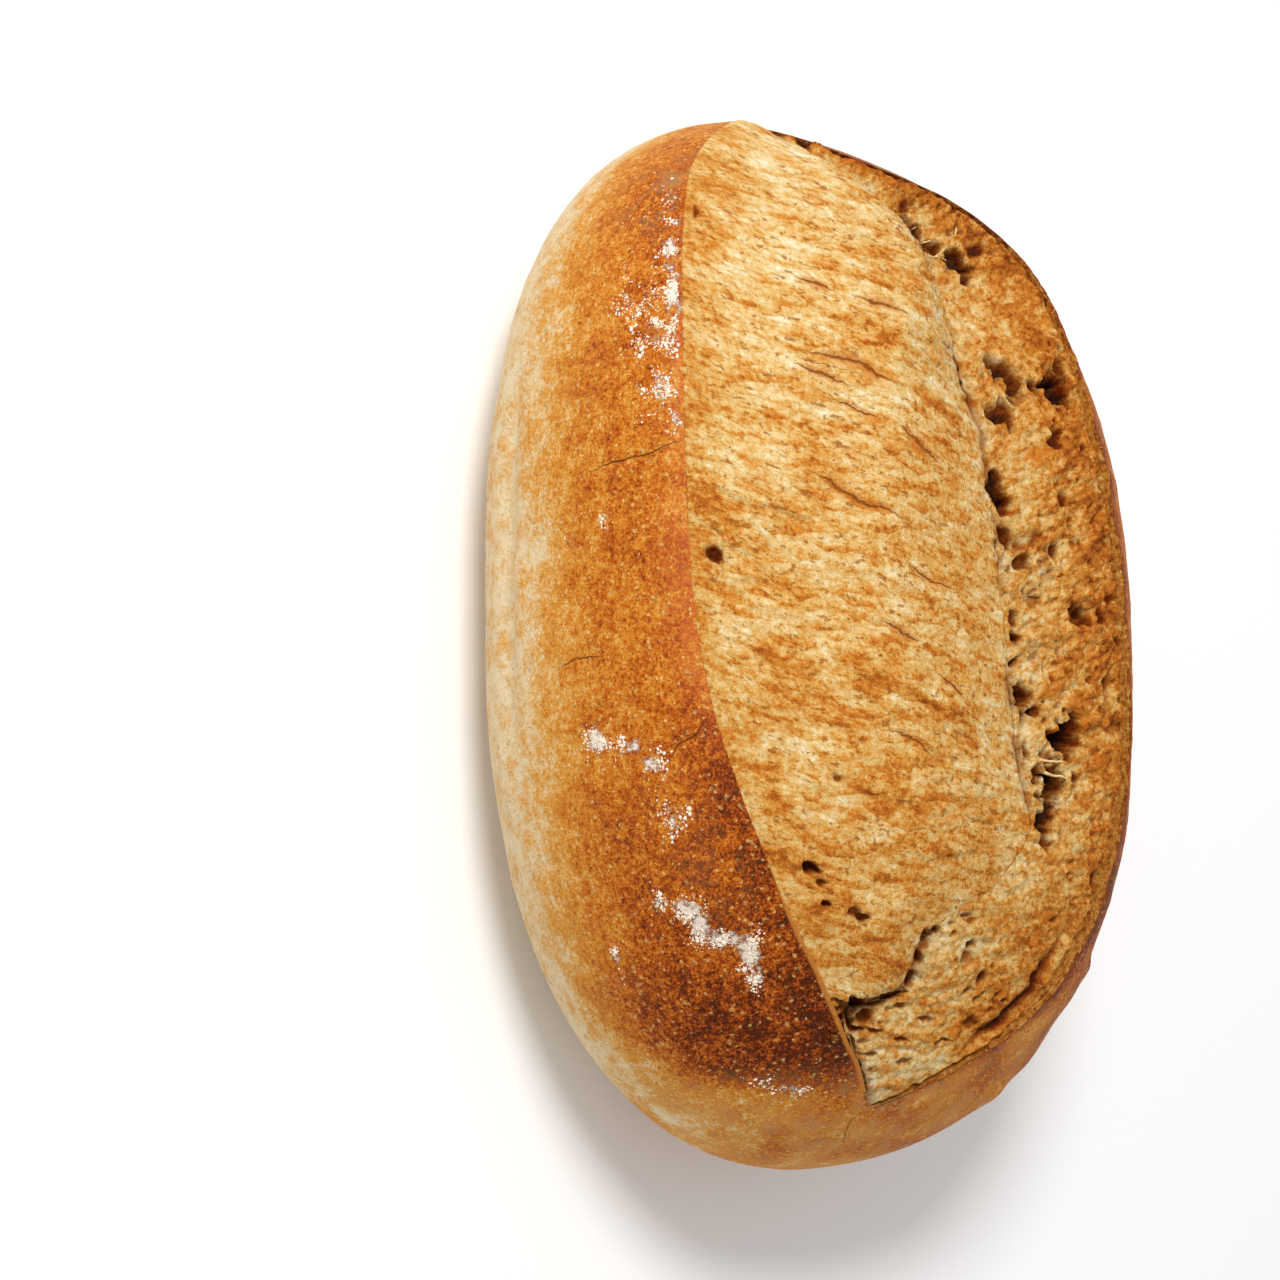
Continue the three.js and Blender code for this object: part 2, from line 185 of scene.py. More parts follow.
def along(stations, values, station):
    """A smooth curve through a table's values, flat beyond its ends."""
    at = np.asarray(stations, float)
    value = np.asarray(values, float)
    slope = np.empty_like(value)
    slope[1:-1] = (value[2:] - value[:-2]) / (at[2:] - at[:-2])
    slope[0] = (value[1] - value[0]) / (at[1] - at[0])
    slope[-1] = (value[-1] - value[-2]) / (at[-1] - at[-2])
    here = np.clip(station, at[0], at[-1])
    i = np.clip(np.searchsorted(at, here, side="right") - 1, 0, len(at) - 2)
    span = at[i + 1] - at[i]
    s = (here - at[i]) / span
    return (
        (1 + 2 * s) * (1 - s) ** 2 * value[i]
        + s * (1 - s) ** 2 * span * slope[i]
        + s * s * (3 - 2 * s) * value[i + 1]
        + s * s * (s - 1) * span * slope[i + 1]
    )


def window(value, opens, closes):
    """1 between two slopes, 0 outside them and smooth on them."""
    return smooth_step(*opens, value) * (1 - smooth_step(*closes, value))


def mixed(shares, **layers):
    """The least value, plus each named layer times its share."""
    return shares["least"] + sum(shares[name] * layer for name, layer in layers.items())


def hill(distance):
    """A hill of height 1 that falls to 0 at about one radius and a half."""
    return np.exp(-1.5 * distance**2)


def scatter(i, j, k):
    """A repeatable random number from 0 to 1 for each corner of a lattice."""
    wave = np.sin(i * 127.1 + j * 311.7 + k * 74.7) * 43758.5453
    return wave - np.floor(wave)


def lumps(x, y, z):
    """Smooth lumps from -1 to 1, one lump to a unit."""
    x, y, z = np.broadcast_arrays(x, y, z)
    cell = [np.floor(value) for value in (x, y, z)]
    part = [value - whole for value, whole in zip((x, y, z), cell)]
    part = [s * s * (3 - 2 * s) for s in part]
    total = 0
    for corner in range(8):
        step = (corner & 1, corner >> 1 & 1, corner >> 2)
        weight = 1
        for on, share in zip(step, part):
            weight = weight * (share if on else 1 - share)
        total = total + weight * scatter(*(whole + on for whole, on in zip(cell, step)))
    return total * 2 - 1


def rough(x, y, z, octaves, seed=0.0):
    """Lumps on lumps, each octave turned and half the size of the last, from -1 to 1."""
    total = 0
    weight = 1.0
    for octave in range(octaves):
        total = total + weight * lumps(x, y, z + seed + 17.3 * octave)
        x, y = 1.62 * x + 1.18 * y, 1.62 * y - 1.18 * x
        z = z * 2
        weight *= 0.5
    return total / (2 - 2 * weight)


def rough_plane(form, x, y):
    """Lumps on lumps over a plane, from their length, width, seed and number of octaves."""
    length, width, seed, octaves = form
    return rough(x / length, y / width, seed, octaves)


def rough_space(form, x, y, z):
    """Lumps on lumps in space, from their size, seed and number of octaves."""
    size, seed, octaves = form
    return rough(x / size, y / size, z / size, octaves, seed)


def crazing(x, y, seed):
    """Cells over a plane: nearest and second distance, the way from the middle, and a number."""
    x, y = np.broadcast_arrays(x, y)
    column = np.floor(x)
    row = np.floor(y)
    nearest = np.full(x.shape, 9.0)
    second = np.full(x.shape, 9.0)
    across = np.zeros(x.shape)
    down = np.zeros(x.shape)
    number = np.zeros(x.shape)
    for i in (-1, 0, 1):
        for j in (-1, 0, 1):
            at_x = column + i + scatter(column + i, row + j, seed)
            at_y = row + j + scatter(column + i, row + j, seed + 5)
            gap = np.hypot(x - at_x, y - at_y)
            closer = gap < nearest
            second = np.where(closer, nearest, np.minimum(second, gap))
            nearest = np.where(closer, gap, nearest)
            across = np.where(closer, x - at_x, across)
            down = np.where(closer, y - at_y, down)
            number = np.where(closer, scatter(column + i, row + j, seed + 9), number)
    return nearest, second, across, down, number


# ---- The dome and the score, on arrays -----------------------------------------------------


class Cut:
    """The loaf's plain section at each share of its half length."""

    def __init__(self, share):
        share = np.asarray(share, float)
        back = share < 0

        def full(bluntness):
            """How full the loaf is here, from the bluntness towards its -X and its +X end."""
            return np.sqrt(np.maximum(1 - np.abs(share) ** np.where(back, *bluntness), 0))

        left_reach = LEFT_SHARE * WIDTH
        self.station = np.degrees(np.arcsin(np.clip(share, -1, 1)))
        self.x = share * LENGTH / 2
        bend = np.where(back, SPINE_BEND_BACK, SPINE_BEND_FRONT)
        self.spine = left_reach - WIDTH / 2 + bend * share * share
        self.waist = WAIST_HEIGHT - np.where(back, 0, WAIST_DROP * share * share)
        self.left = left_reach * full(BLUNT_LEFT)
        self.right = (WIDTH - left_reach) * full(BLUNT_RIGHT)
        self.above = (CROWN_HEIGHT - WAIST_HEIGHT) * full(BLUNT_TOP)
        self.below = (WAIST_HEIGHT + BASE_SINK) * full(BLUNT_FOOT)
        self.radius = (self.left + self.right + self.above) / 3
        torn = RAGGED * rough(self.x / RAGGED_PITCH, 8.5, 0.5, 2)
        torn = torn * window(self.station, SCORE_OPENS, SCORE_CLOSES)
        torn = np.degrees(torn / np.maximum(self.radius, LEAST_RADIUS))
        self.left_lip = along(LIP_STATIONS, LEFT_LIP, self.station) - LEFT_RAGGED * torn
        self.right_lip = along(LIP_STATIONS, RIGHT_LIP, self.station) + torn
        self.ear = along(EAR_STATIONS, EAR_LIFT, self.station) * MM
        self.step = along(STEP_STATIONS, LEFT_LIFT, self.station) * MM
        self.band = along(BAND_STATIONS, BAND, self.station)

    def round_from(self, start, angle):
        """Distance in mm round the section from one angle to another."""
        return np.radians(angle - start) * self.radius / MM

    def dome(self, angle, lift=0.0):
        """The dome's points at an angle, lifted outwards and never below the floor."""
        sine = np.sin(np.radians(angle))
        cosine = np.cos(np.radians(angle))
        across = np.maximum(np.where(sine < 0, self.left, self.right), 1e-9)
        upright = np.maximum(np.where(cosine > 0, self.above, self.below), 1e-9)
        bluntness = np.where(cosine > 0, BLUNT_UPPER_SECTION, BLUNT_LOWER_SECTION)
        inverse = np.abs(sine / across) ** bluntness + np.abs(cosine / upright) ** bluntness
        reach = inverse ** (-1 / bluntness) + lift
        y = self.spine + reach * sine
        z = np.maximum(self.waist + reach * cosine, 0)
        return np.stack(np.broadcast_arrays(self.x, y, z), -1)

    def lift(self, angle):
        """How far the crust stands off the plain dome at an angle."""
        past_right = np.maximum(self.round_from(self.right_lip, angle), 0) * MM
        past_left = np.maximum(self.round_from(angle, self.left_lip), 0) * MM
        notches = RAGGED * rough(self.x / RAGGED_PITCH, 3.5, 0.5, 4)
        curled = self.ear + np.minimum(self.ear / MM, 1) * notches
        lift = np.where(
            angle > (self.left_lip + self.right_lip) / 2,
            curled * np.exp(-past_right / EAR_CURL),
            self.step * np.exp(-past_left / LEFT_CURL),
        )
        for x, at, half_length, half_width, height in CRUST_FORMS:
            away = self.round_from(at, angle) / half_width
            lift = lift + height * MM * hill(np.hypot((self.x / MM - x) / half_length, away))
        return lift * smooth_step(0, TAPER, self.radius)

    def burst(self, across):
        """Points of the smooth burst, the way out of it and the score's width, by share across."""
        left = self.dome(self.left_lip, self.lift(self.left_lip))
        right = self.dome(self.right_lip, self.lift(self.right_lip))
        chord = right - left
        width = np.maximum(np.linalg.norm(chord, axis=-1), 1e-9)
        outward = np.stack([0 * width, -chord[..., 2], chord[..., 1]], -1) / width[..., None]
        height = burst_height(self.station, across) * width
        points = left + chord * across[..., None] + outward * height[..., None]
        return points, outward, width


def cut_at(x):
    """The section at a distance in mm along the loaf."""
    return Cut(x * MM / (LENGTH / 2))


def burst_height(station, across):
    """How high the burst stands above the line from lip to lip, as a share of that line."""
    fissure = along(FISSURE_STATIONS, FISSURE, station)
    depth = along(DEPTH_STATIONS, FISSURE_DEPTH, station)
    peak = along(PEAK_STATIONS, SWELL_PEAK, station)
    merge = along(MERGE_STATIONS, MERGE, station)
    share = np.clip(across / fissure, 0, 1)
    rise = np.sin(math.pi / 2 * np.minimum(share / peak, 1)) ** RISE_POWER
    fall = np.clip((share - peak) / (1 - peak), 0, 1)
    gentle = np.clip(merge / SLOPE_MERGE, 0, 1)
    steep = (1 - fall ** BREAK_POWERS[0]) ** BREAK_POWERS[1]
    swell = np.where(share < peak, rise, steep + (1 - fall**SLOPE_POWER - steep) * gentle)
    swell = along(SWELL_STATIONS, SWELL, station) * swell
    crumb = swell + merge * share**MERGE_POWER - depth * share**DIP_POWER
    up = np.clip((across - fissure) / (1 - fissure), 0, 1)
    hollow = EAR_HOLLOW * np.sin(math.pi * up) * np.clip(depth / FULL_DEPTH, 0, 1)
    wide, narrow = VALLEY_POWERS
    narrow = wide + (narrow - wide) * smooth_step(*VALLEY_STATIONS, station)
    face = merge * (1 - up**SHOULDER_POWER) - depth * (1 - up) ** narrow - hollow
    return np.where(across < fissure, crumb, face)


# ---- Mesh work -----------------------------------------------------------------------------


def vertex_places(mesh):
    places = np.empty(len(mesh.vertices) * 3)
    mesh.vertices.foreach_get("co", places)
    return places.reshape(-1, 3)


def place_vertices(mesh, places):
    mesh.vertices.foreach_set("co", places.astype(np.float32).ravel())
    mesh.update()


def paint(mesh, name, values):
    """Stores a number or a vector at each vertex for the material to read."""
    kind, key = ("FLOAT", "value") if values.ndim == 1 else ("FLOAT_VECTOR", "vector")
    layer = mesh.attributes.new(name, kind, "POINT")
    layer.data.foreach_set(key, values.astype(np.float32).ravel())


def corner_table(mesh):
    """The vertex of each face corner and the face it belongs to."""
    vertex = np.empty(len(mesh.loops), np.int32)
    mesh.loops.foreach_get("vertex_index", vertex)
    counts = np.empty(len(mesh.polygons), np.int32)
    mesh.polygons.foreach_get("loop_total", counts)
    return vertex, np.repeat(np.arange(len(counts)), counts), counts


def lay_out(mesh, spots):
    """Gives the mesh the map that its colours are kept on, one spot to a face corner."""
    layer = mesh.uv_layers.new(name="OFBake")
    spots = 0.003 + 0.994 * spots
    layer.uv.foreach_set("vector", spots.astype(np.float32).ravel())


def signed_gap(across, down, run):
    """Distance from points in a plane to a run of straight pieces, negative on one side of it.

    Also returns how far inside the run's two ends each point lies, from 0 to 1.
    """
    run = np.asarray(run, float)
    ways = np.diff(run, axis=0)
    lengths = np.linalg.norm(ways, axis=1)
    nearest = np.full(across.shape, 1e3)
    signed = np.zeros(across.shape)
    travelled = np.zeros(across.shape)
    so_far = 0
    for start, way, length in zip(run, ways, lengths):
        u = across - start[0]
        v = down - start[1]
        share = np.clip((u * way[0] + v * way[1]) / length**2, 0, 1)
        gap = np.hypot(u - share * way[0], v - share * way[1])
        side = np.sign(u * way[1] - v * way[0])
        closer = gap < nearest
        nearest = np.where(closer, gap, nearest)
        signed = np.where(closer, gap * side, signed)
        travelled = np.where(closer, so_far + share * length, travelled)
        so_far += length
    inside = np.minimum(travelled, so_far - travelled) / (0.3 * so_far)
    return signed, np.clip(inside, 0, 1)


def finish_piece(piece, name, material):
    """Names a piece, gives it its material, and puts it in the frame for the loaf."""
    piece.name = name
    piece.data.name = name
    piece.data.materials.clear()
    piece.data.materials.append(material)
    bpy.ops.object.shade_smooth()
    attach(piece, "root")
    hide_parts("loaf")


# ---- Shader work ---------------------------------------------------------------------------


class Wire:
    """A node's output that can be used in sums, each of which adds a Math node."""

    def __init__(self, bench, socket):
        self.bench = bench
        self.socket = socket

    def maths(self, operation, first, second):
        settings = {"operation": operation}
        return self.bench.node("ShaderNodeMath", settings, {0: first, 1: second})

    def __add__(self, other):
        return self.maths("ADD", self, other)

    def __radd__(self, other):
        return self.maths("ADD", other, self)

    def __sub__(self, other):
        return self.maths("SUBTRACT", self, other)

    def __rsub__(self, other):
        return self.maths("SUBTRACT", other, self)

    def __mul__(self, other):
        return self.maths("MULTIPLY", self, other)

    def __rmul__(self, other):
        return self.maths("MULTIPLY", other, self)

    def __abs__(self):
        return self.maths("ABSOLUTE", self, 0.0)


class Bench:
    """Where one material's nodes are put together."""

    def __init__(self, name):
        self.material = bpy.data.materials.new(name)
        self.material.use_nodes = True
        self.tree = self.material.node_tree
        self.tree.nodes.clear()

    def node(self, kind, settings=None, inputs=None, output=0):
        """Adds a node: its settings first, then its sockets' values or links. Returns an output."""
        made = self.tree.nodes.new(kind)
        for name, value in (settings or {}).items():
            if name == "stops":
                self.set_stops(made.color_ramp, value)
            else:
                setattr(made, name, value)
        for name, value in (inputs or {}).items():
            if isinstance(value, Wire):
                self.tree.links.new(value.socket, made.inputs[name])
            else:
                made.inputs[name].default_value = value
        return Wire(self, made.outputs[output]) if made.outputs else made

    def set_stops(self, ramp, stops):
        while len(ramp.elements) < len(stops):
            ramp.elements.new(0.5)
        for element, (place, rgba) in zip(ramp.elements, stops):
            element.position = place
            element.color = rgba

    def painted(self, name, output="Fac"):
        """What the mesh holds at each vertex under a name."""
        return self.node("ShaderNodeAttribute", {"attribute_name": name}, None, output)

    def object_place(self):
        return self.node("ShaderNodeTexCoord", None, None, "Object")

    def scaled(self, place, scale):
        inputs = {0: place, 1: scale}
        return self.node("ShaderNodeVectorMath", {"operation": "MULTIPLY"}, inputs)

    def warped(self, place, size, amount):
        """The place pushed about by noise with lumps of this size."""
        inputs = {"Vector": place, "Scale": 1 / size, "Detail": 2.0}
        push = self.node("ShaderNodeTexNoise", None, inputs, "Color")
        settings = {"operation": "MULTIPLY_ADD"}
        centred = self.node(
            "ShaderNodeVectorMath", settings, {0: push, 1: (2 * amount,) * 3, 2: (-amount,) * 3}
        )
        return self.node("ShaderNodeVectorMath", {"operation": "ADD"}, {0: place, 1: centred})

    def noise(self, place, size, detail=3.0, roughness=0.5):
        """Noise round 0, mostly from -0.5 to 0.5, with lumps of about this size."""
        inputs = {"Vector": place, "Scale": 1 / size, "Detail": detail, "Roughness": roughness}
        return self.node("ShaderNodeTexNoise", None, inputs, "Fac") - 0.5

    def cells(self, place, size, feature, output):
        inputs = {"Vector": place, "Scale": 1 / size}
        return self.node("ShaderNodeTexVoronoi", {"feature": feature}, inputs, output)

    def step(self, value, low, high):
        """0 below low, 1 above high and smooth between them. low may be the larger."""
        inputs = {"Value": value, "From Min": low, "From Max": high}
        return self.node("ShaderNodeMapRange", {"interpolation_type": "SMOOTHSTEP"}, inputs)

    def blend(self, share, first, second, mode="MIX"):
        settings = {"data_type": "RGBA", "blend_type": mode}
        return self.node("ShaderNodeMix", settings, {0: share, 6: first, 7: second}, 2)

    def ramp(self, value, stops):
        return self.node("ShaderNodeValToRGB", {"stops": stops}, {"Fac": value}, "Color")

    def flakes(self, place, size):
        """Flakes that each rise along X: the height from -1 to 1, and where the high edge is."""
        middle = self.cells(place, size, "F1", "Position")
        away = self.node("ShaderNodeVectorMath", {"operation": "SUBTRACT"}, {0: place, 1: middle})
        rise = self.node("ShaderNodeSeparateXYZ", None, {0: away}, "X") * (1 / size)
        return rise, self.step(rise, 0.1, 0.45)

    def bump(self, height, distance):
        return self.node("ShaderNodeBump", None, {"Height": height, "Distance": distance}, "Normal")

    def finish(self, inputs):
        """Ends the material in one surface shader."""
        shader = self.node("ShaderNodeBsdfPrincipled", None, inputs, "BSDF")
        self.node("ShaderNodeOutputMaterial", None, {"Surface": shader})
        return self.material


def from_screen(red, green, blue):
    """A colour given as it shows on a screen, from 0 to 255, for a shader."""
    def straight(value):
        value = value / 255
        return value / 12.92 if value <= 0.04045 else ((value + 0.055) / 1.055) ** 2.4

    return (straight(red), straight(green), straight(blue), 1.0)


def colour(rgb):
    return (rgb[0], rgb[1], rgb[2], 1.0)


# Fixed shades, beside the colours of the finish below.
FLOURED_FOOT = from_screen(228, 206, 166)
LIGHT_GOLD = from_screen(220, 164, 84)
RED_BROWN = from_screen(144, 60, 14)
FLUSH = from_screen(204, 104, 66)
PALE_SPECK = from_screen(244, 196, 118)
VEIL = from_screen(216, 166, 102)
CRUST_CRACK = from_screen(104, 48, 16)
YELLOW_FLOUR = from_screen(240, 216, 178)
LEFT_TORN_EDGE = from_screen(206, 132, 56)
DARK_LINE = from_screen(112, 48, 22)
PALEST_CRUMB = from_screen(246, 230, 194)
LIGHT_TOAST = from_screen(220, 170, 92)
DARK_TOAST = from_screen(182, 98, 28)
DARKEST_TOAST = from_screen(130, 64, 20)
BLOTCH = from_screen(212, 126, 36)
# Brown dashes: partly toasted flake edges, partly painted shadow beneath them.
DASH = from_screen(160, 86, 28)
CRACK_FRINGE = from_screen(206, 122, 42)
CRUMB_CRACK = from_screen(140, 70, 22)
# Painted shade in the crumb's small pores.
PORE_SHADE = from_screen(142, 76, 26)
# Painted shade, multiplied into the crumb's holes, fissure and creases.
HOLLOW_SHADE = from_screen(165, 112, 56)
STRAND_BLOTCH = from_screen(206, 160, 92)
# The layers inside the ear, from dark to light.
LAYERS_DARKEST = from_screen(120, 58, 18)
LAYERS_DARK = from_screen(182, 106, 36)
LAYERS_LIGHT = from_screen(206, 144, 62)
LAYERS_LIGHTEST = from_screen(228, 186, 116)

# How strongly each surface shines.
FLOUR_SHINE = 0.02
CRUST_SHINE = 0.05
CRUMB_SHINE = 0.1
TABLE_SHINE = 0.1
# How far the painted relief stands out.
CRUST_BUMP = 0.8 * MM
CRUMB_BUMP = 0.55 * MM


# ---- Settings ------------------------------------------------------------------------------


def length_property(name, description, default):
    return bpy.props.FloatProperty(
        name=name, description=description, default=default, unit="LENGTH", precision=4
    )


def colour_property(name, description, default):
    return bpy.props.FloatVectorProperty(
        name=name,
        description=description,
        default=default[:3],
        subtype="COLOR",
        size=3,
        min=0,
        max=1,
    )


class LoafForm(bpy.types.PropertyGroup):
    """Sizes of the crust's and the crumb's relief."""

    crust_relief: length_property("Crust relief", "Height of the crust's wide unevenness", 0.6 * MM)
    blister: length_property("Blister", "Height of the crust's small blisters", 0.16 * MM)
    flake: length_property("Flake", "Height of the swell's flakes", 0.55 * MM)
    crag: length_property("Crag", "Height of the torn face's crags", 1.9 * MM)


class LoafFinish(bpy.types.PropertyGroup):
    """Colours of the baked surfaces, and of the shade painted into the crumb's holes."""

    foot: colour_property("Foot", "Pale crust by the base", from_screen(224, 194, 146))
    gold: colour_property("Gold", "Golden crust", from_screen(211, 138, 44))
    brown: colour_property("Brown", "Browned crust", from_screen(186, 94, 22))
    dark: colour_property("Dark", "Darkest crust", from_screen(78, 34, 14))
    crumb: colour_property("Crumb", "Pale crumb", from_screen(233, 202, 142))
    toast: colour_property("Toast", "Toasted crumb", from_screen(208, 134, 46))
    # Painted shade: the darkest colour, painted into deep holes, creases and the fissure where shade
    # falls.
    char: colour_property("Shade", "Shaded crags and deep holes", from_screen(70, 34, 14))
    flour: colour_property("Flour", "Dusted flour", from_screen(244, 232, 216))


class LoafStage(bpy.types.PropertyGroup):
    """The table, the light and the camera."""

    floor: colour_property("Floor", "Colour of the table", (0.95, 0.95, 0.95))
    distance: length_property("Distance", "From the camera to the loaf", 0.9)
    key_power: bpy.props.FloatProperty(
        name="Key light", description="Power of the main light", default=13.3, unit="POWER"
    )
    fill_power: bpy.props.FloatProperty(
        name="Fill light", description="Power of the light opposite", default=0.6, unit="POWER"
    )
    sky: bpy.props.FloatProperty(
        name="Sky", description="Strength of the even light all round", default=0.56
    )


# ---- The crust -----------------------------------------------------------------------------

RINGS = 320                    # stations along the loaf
UNDER_COLUMNS = 16             # columns under the base, each side
LEFT_COLUMNS = 118
TRENCH_COLUMNS = 28            # columns across the score, most of them hidden under the crumb
RIGHT_COLUMNS = 112
CRUST_COLUMNS = 2 * UNDER_COLUMNS + LEFT_COLUMNS + TRENCH_COLUMNS + RIGHT_COLUMNS
NEAR_COLUMNS = 0.36            # this share of the trench's columns stays near each lip,
NEAR_LIP = 9 * MM              # within this distance,
NEAR_LIMIT = 0.3               # or within this share of a narrow score
NEAR_POWER = 1.7
PACKED_FROM, PACKED_TO = 22 * MM, 40 * MM   # widths of the score between which they draw in
FOOT_LIMIT = 140               # the foot's edge is never further round than this
LEAST_SCORE = 12               # the scored columns spread at least this far each side
LEAST_OPEN = 0.5               # in degrees, below which the score is closed
CLOSED_WIDTH = 1 * MM          # and it shows no torn edge below this width
EDGE_LIMIT = 20                # in mm, as far as the distance to a lip is stored
# The lips' profiles: distance inside the lip and depth below the smooth burst, in mm.
LEFT_EDGE = ((0, 0.2, 0.5, 0.9, 1.4, 2.4, 4.5, 9), (0, 0.05, 0.5, 1.6, 3.6, 7, 11, 17))
RIGHT_EDGE = ((0, 0.3, 0.8, 1.5, 2.2, 3.0, 4.2, 6.5, 11), (0, 0.25, 0.6, 1.1, 2.2, 4.2, 8, 12, 17))

# The crust's relief in space: size in mm, seed and octaves.
WIDE_RELIEF = (22, 0, 3)
BLISTERS = (3.2, 40, 3)
BAKE_BLOTCHES = (10, 90, 4)
TORN_EDGE = (4, 2.0, 3)        # along the ear's edge
TORN_EDGE_DEPTH = 0.8          # in mm
# A groove and a row of knobs along the left foot: height in mm, angle and half width.
FOOT_GROOVE = (1.9, -96, 4)
FOOT_KNOBS = (1.8, -93, 3)
KNOB_PITCH = 6                 # in mm
# How dark the crust bakes, by the cause named.
BAKE = {
    "least": 0.06,
    "height": 0.47,
    "front": 0.14,
    "back": 0.17,
    "end": 0.24,
    "scorch": 0.14,
    "left_wall": 0.07,
    "wide": 0.05,
}
EVEN_BAKE = 0.8                # how far both ends are drawn to an even bake,
LEFT_END_BAKE = 0.42           # to the left of the score
RIGHT_END_BAKE = 0.50          # and to the right of it
EAR_BAKE = 0.26                # a dark line below the ear
LEFT_LIP_BAKE = 0.16           # and one along the left lip
BASE_BAKE = 0.4
NO_CRACK = 50.0                # in mm, the distance to a crack where there is none
# Cracks in the crust: runs of (x in mm, angle), with a width and a depth in mm.
CRUST_CRACKS = (
    (((-36, -72), (-38, -66), (-39, -60), (-42, -53)), 0.2, 0.5),
    (((11, -80), (9, -75), (9, -69)), 0.16, 0.4),
    (((35, -57), (31, -55), (29, -52), (25, -50)), 0.2, 0.5),
    (((119, -6), (121.5, -9.5), (124.5, -8.5), (128, -2)), 0.1, 0.6),
)
# Flour on the crust: x, angle, half length, half width in mm, and how dense it is.
FLOUR = (
    (-91, -55, 14, 3, 0.6),
    (-77, -54, 12, 4, 0.6),
    (-80, -62, 7, 6, 0.4),
    (-68, -58, 6, 5, 0.55),
    (-55, -57, 6, 4, 0.6),
    (-47, -54, 4, 2, 0.7),
    (-20, -76, 2.5, 2, 0.6),
    (-24, -68, 2, 2, 0.6),
    (29, -71, 3.5, 3.5, 0.95),
    (31, -64, 2.5, 5, 0.7),
    (36, -60, 3, 3, 0.85),
    (48, -57, 4, 3.5, 0.55),
    (68, -62, 3, 2, 0.6),
    (70, -56, 2.5, 4.5, 0.95),
    (74, -54, 4, 3, 1.0),
    (77, -50, 2.5, 5, 0.95),
    (80, -45, 5, 3, 1.0),
    (86, -44, 3, 2.5, 0.8),
    (81, -75, 4, 2, 0.6),
    (113, -38, 2.5, 8, 0.55),
)


def trench_share(k, width):
    """Where the trench's columns lie across the score: close together by both lips."""
    near = np.minimum(NEAR_LIP / np.maximum(width, 1e-9), NEAR_LIMIT)
    left = near * np.clip(k / NEAR_COLUMNS, 0, 1) ** NEAR_POWER
    right = 1 - near * np.clip((1 - k) / NEAR_COLUMNS, 0, 1) ** NEAR_POWER
    inner = np.clip((k - NEAR_COLUMNS) / (1 - 2 * NEAR_COLUMNS), 0, 1)
    middle = near + (1 - 2 * near) * inner
    packed = np.where(k < NEAR_COLUMNS, left, np.where(k > 1 - NEAR_COLUMNS, right, middle))
    return k + (packed - k) * smooth_step(PACKED_FROM, PACKED_TO, width)


def crust_table(ring, column):
    """The section at each ring, the angle of each column, and its share across the score."""
    cut = Cut(shares_along(ring / RINGS))
    drop = np.minimum(cut.waist / np.maximum(cut.below, 1e-9), 1)
    share = (1 - drop**BLUNT_LOWER_SECTION) ** (1 / BLUNT_LOWER_SECTION)
    foot_left = -np.minimum(np.degrees(np.arctan2(cut.left * share, -cut.waist)), FOOT_LIMIT)
    foot_right = np.minimum(np.degrees(np.arctan2(cut.right * share, -cut.waist)), FOOT_LIMIT)
    middle = (cut.left_lip + cut.right_lip) / 2
    left = np.minimum(cut.left_lip, middle - LEAST_SCORE)
    right = np.maximum(cut.right_lip, middle + LEAST_SCORE)
    _, _, width = cut.burst(np.zeros_like(cut.x))
    angle = np.full(cut.x.shape, 180.0)
    spans = (
        (UNDER_COLUMNS, -180 + 0 * left, foot_left),
        (LEFT_COLUMNS, foot_left, left),
        (TRENCH_COLUMNS, left, right),
        (RIGHT_COLUMNS, right, foot_right),
        (UNDER_COLUMNS, foot_right, 180 + 0 * left),
    )
    first = 0
    for count, start, end in spans:
        k = (column - first) / count
        if count == TRENCH_COLUMNS:
            k = trench_share(np.clip(k, 0, 1), width)
        here = (column >= first) & (column <= first + count)
        angle = np.where(here, start + (end - start) * k, angle)
        first += count
    open_angle = cut.right_lip - cut.left_lip
    inside = (open_angle > LEAST_OPEN) & (angle >= cut.left_lip) & (angle <= cut.right_lip)
    across = (angle - cut.left_lip) / np.maximum(open_angle, LEAST_OPEN)
    across = np.where(inside, across, np.nan)
    return cut, angle, across, width


def shares_along(s):
    """Shares of the half length for even steps from 0 to 1, closer together at both ends."""
    s = 2 * s - 1
    return (5 * s - s**5) / 4


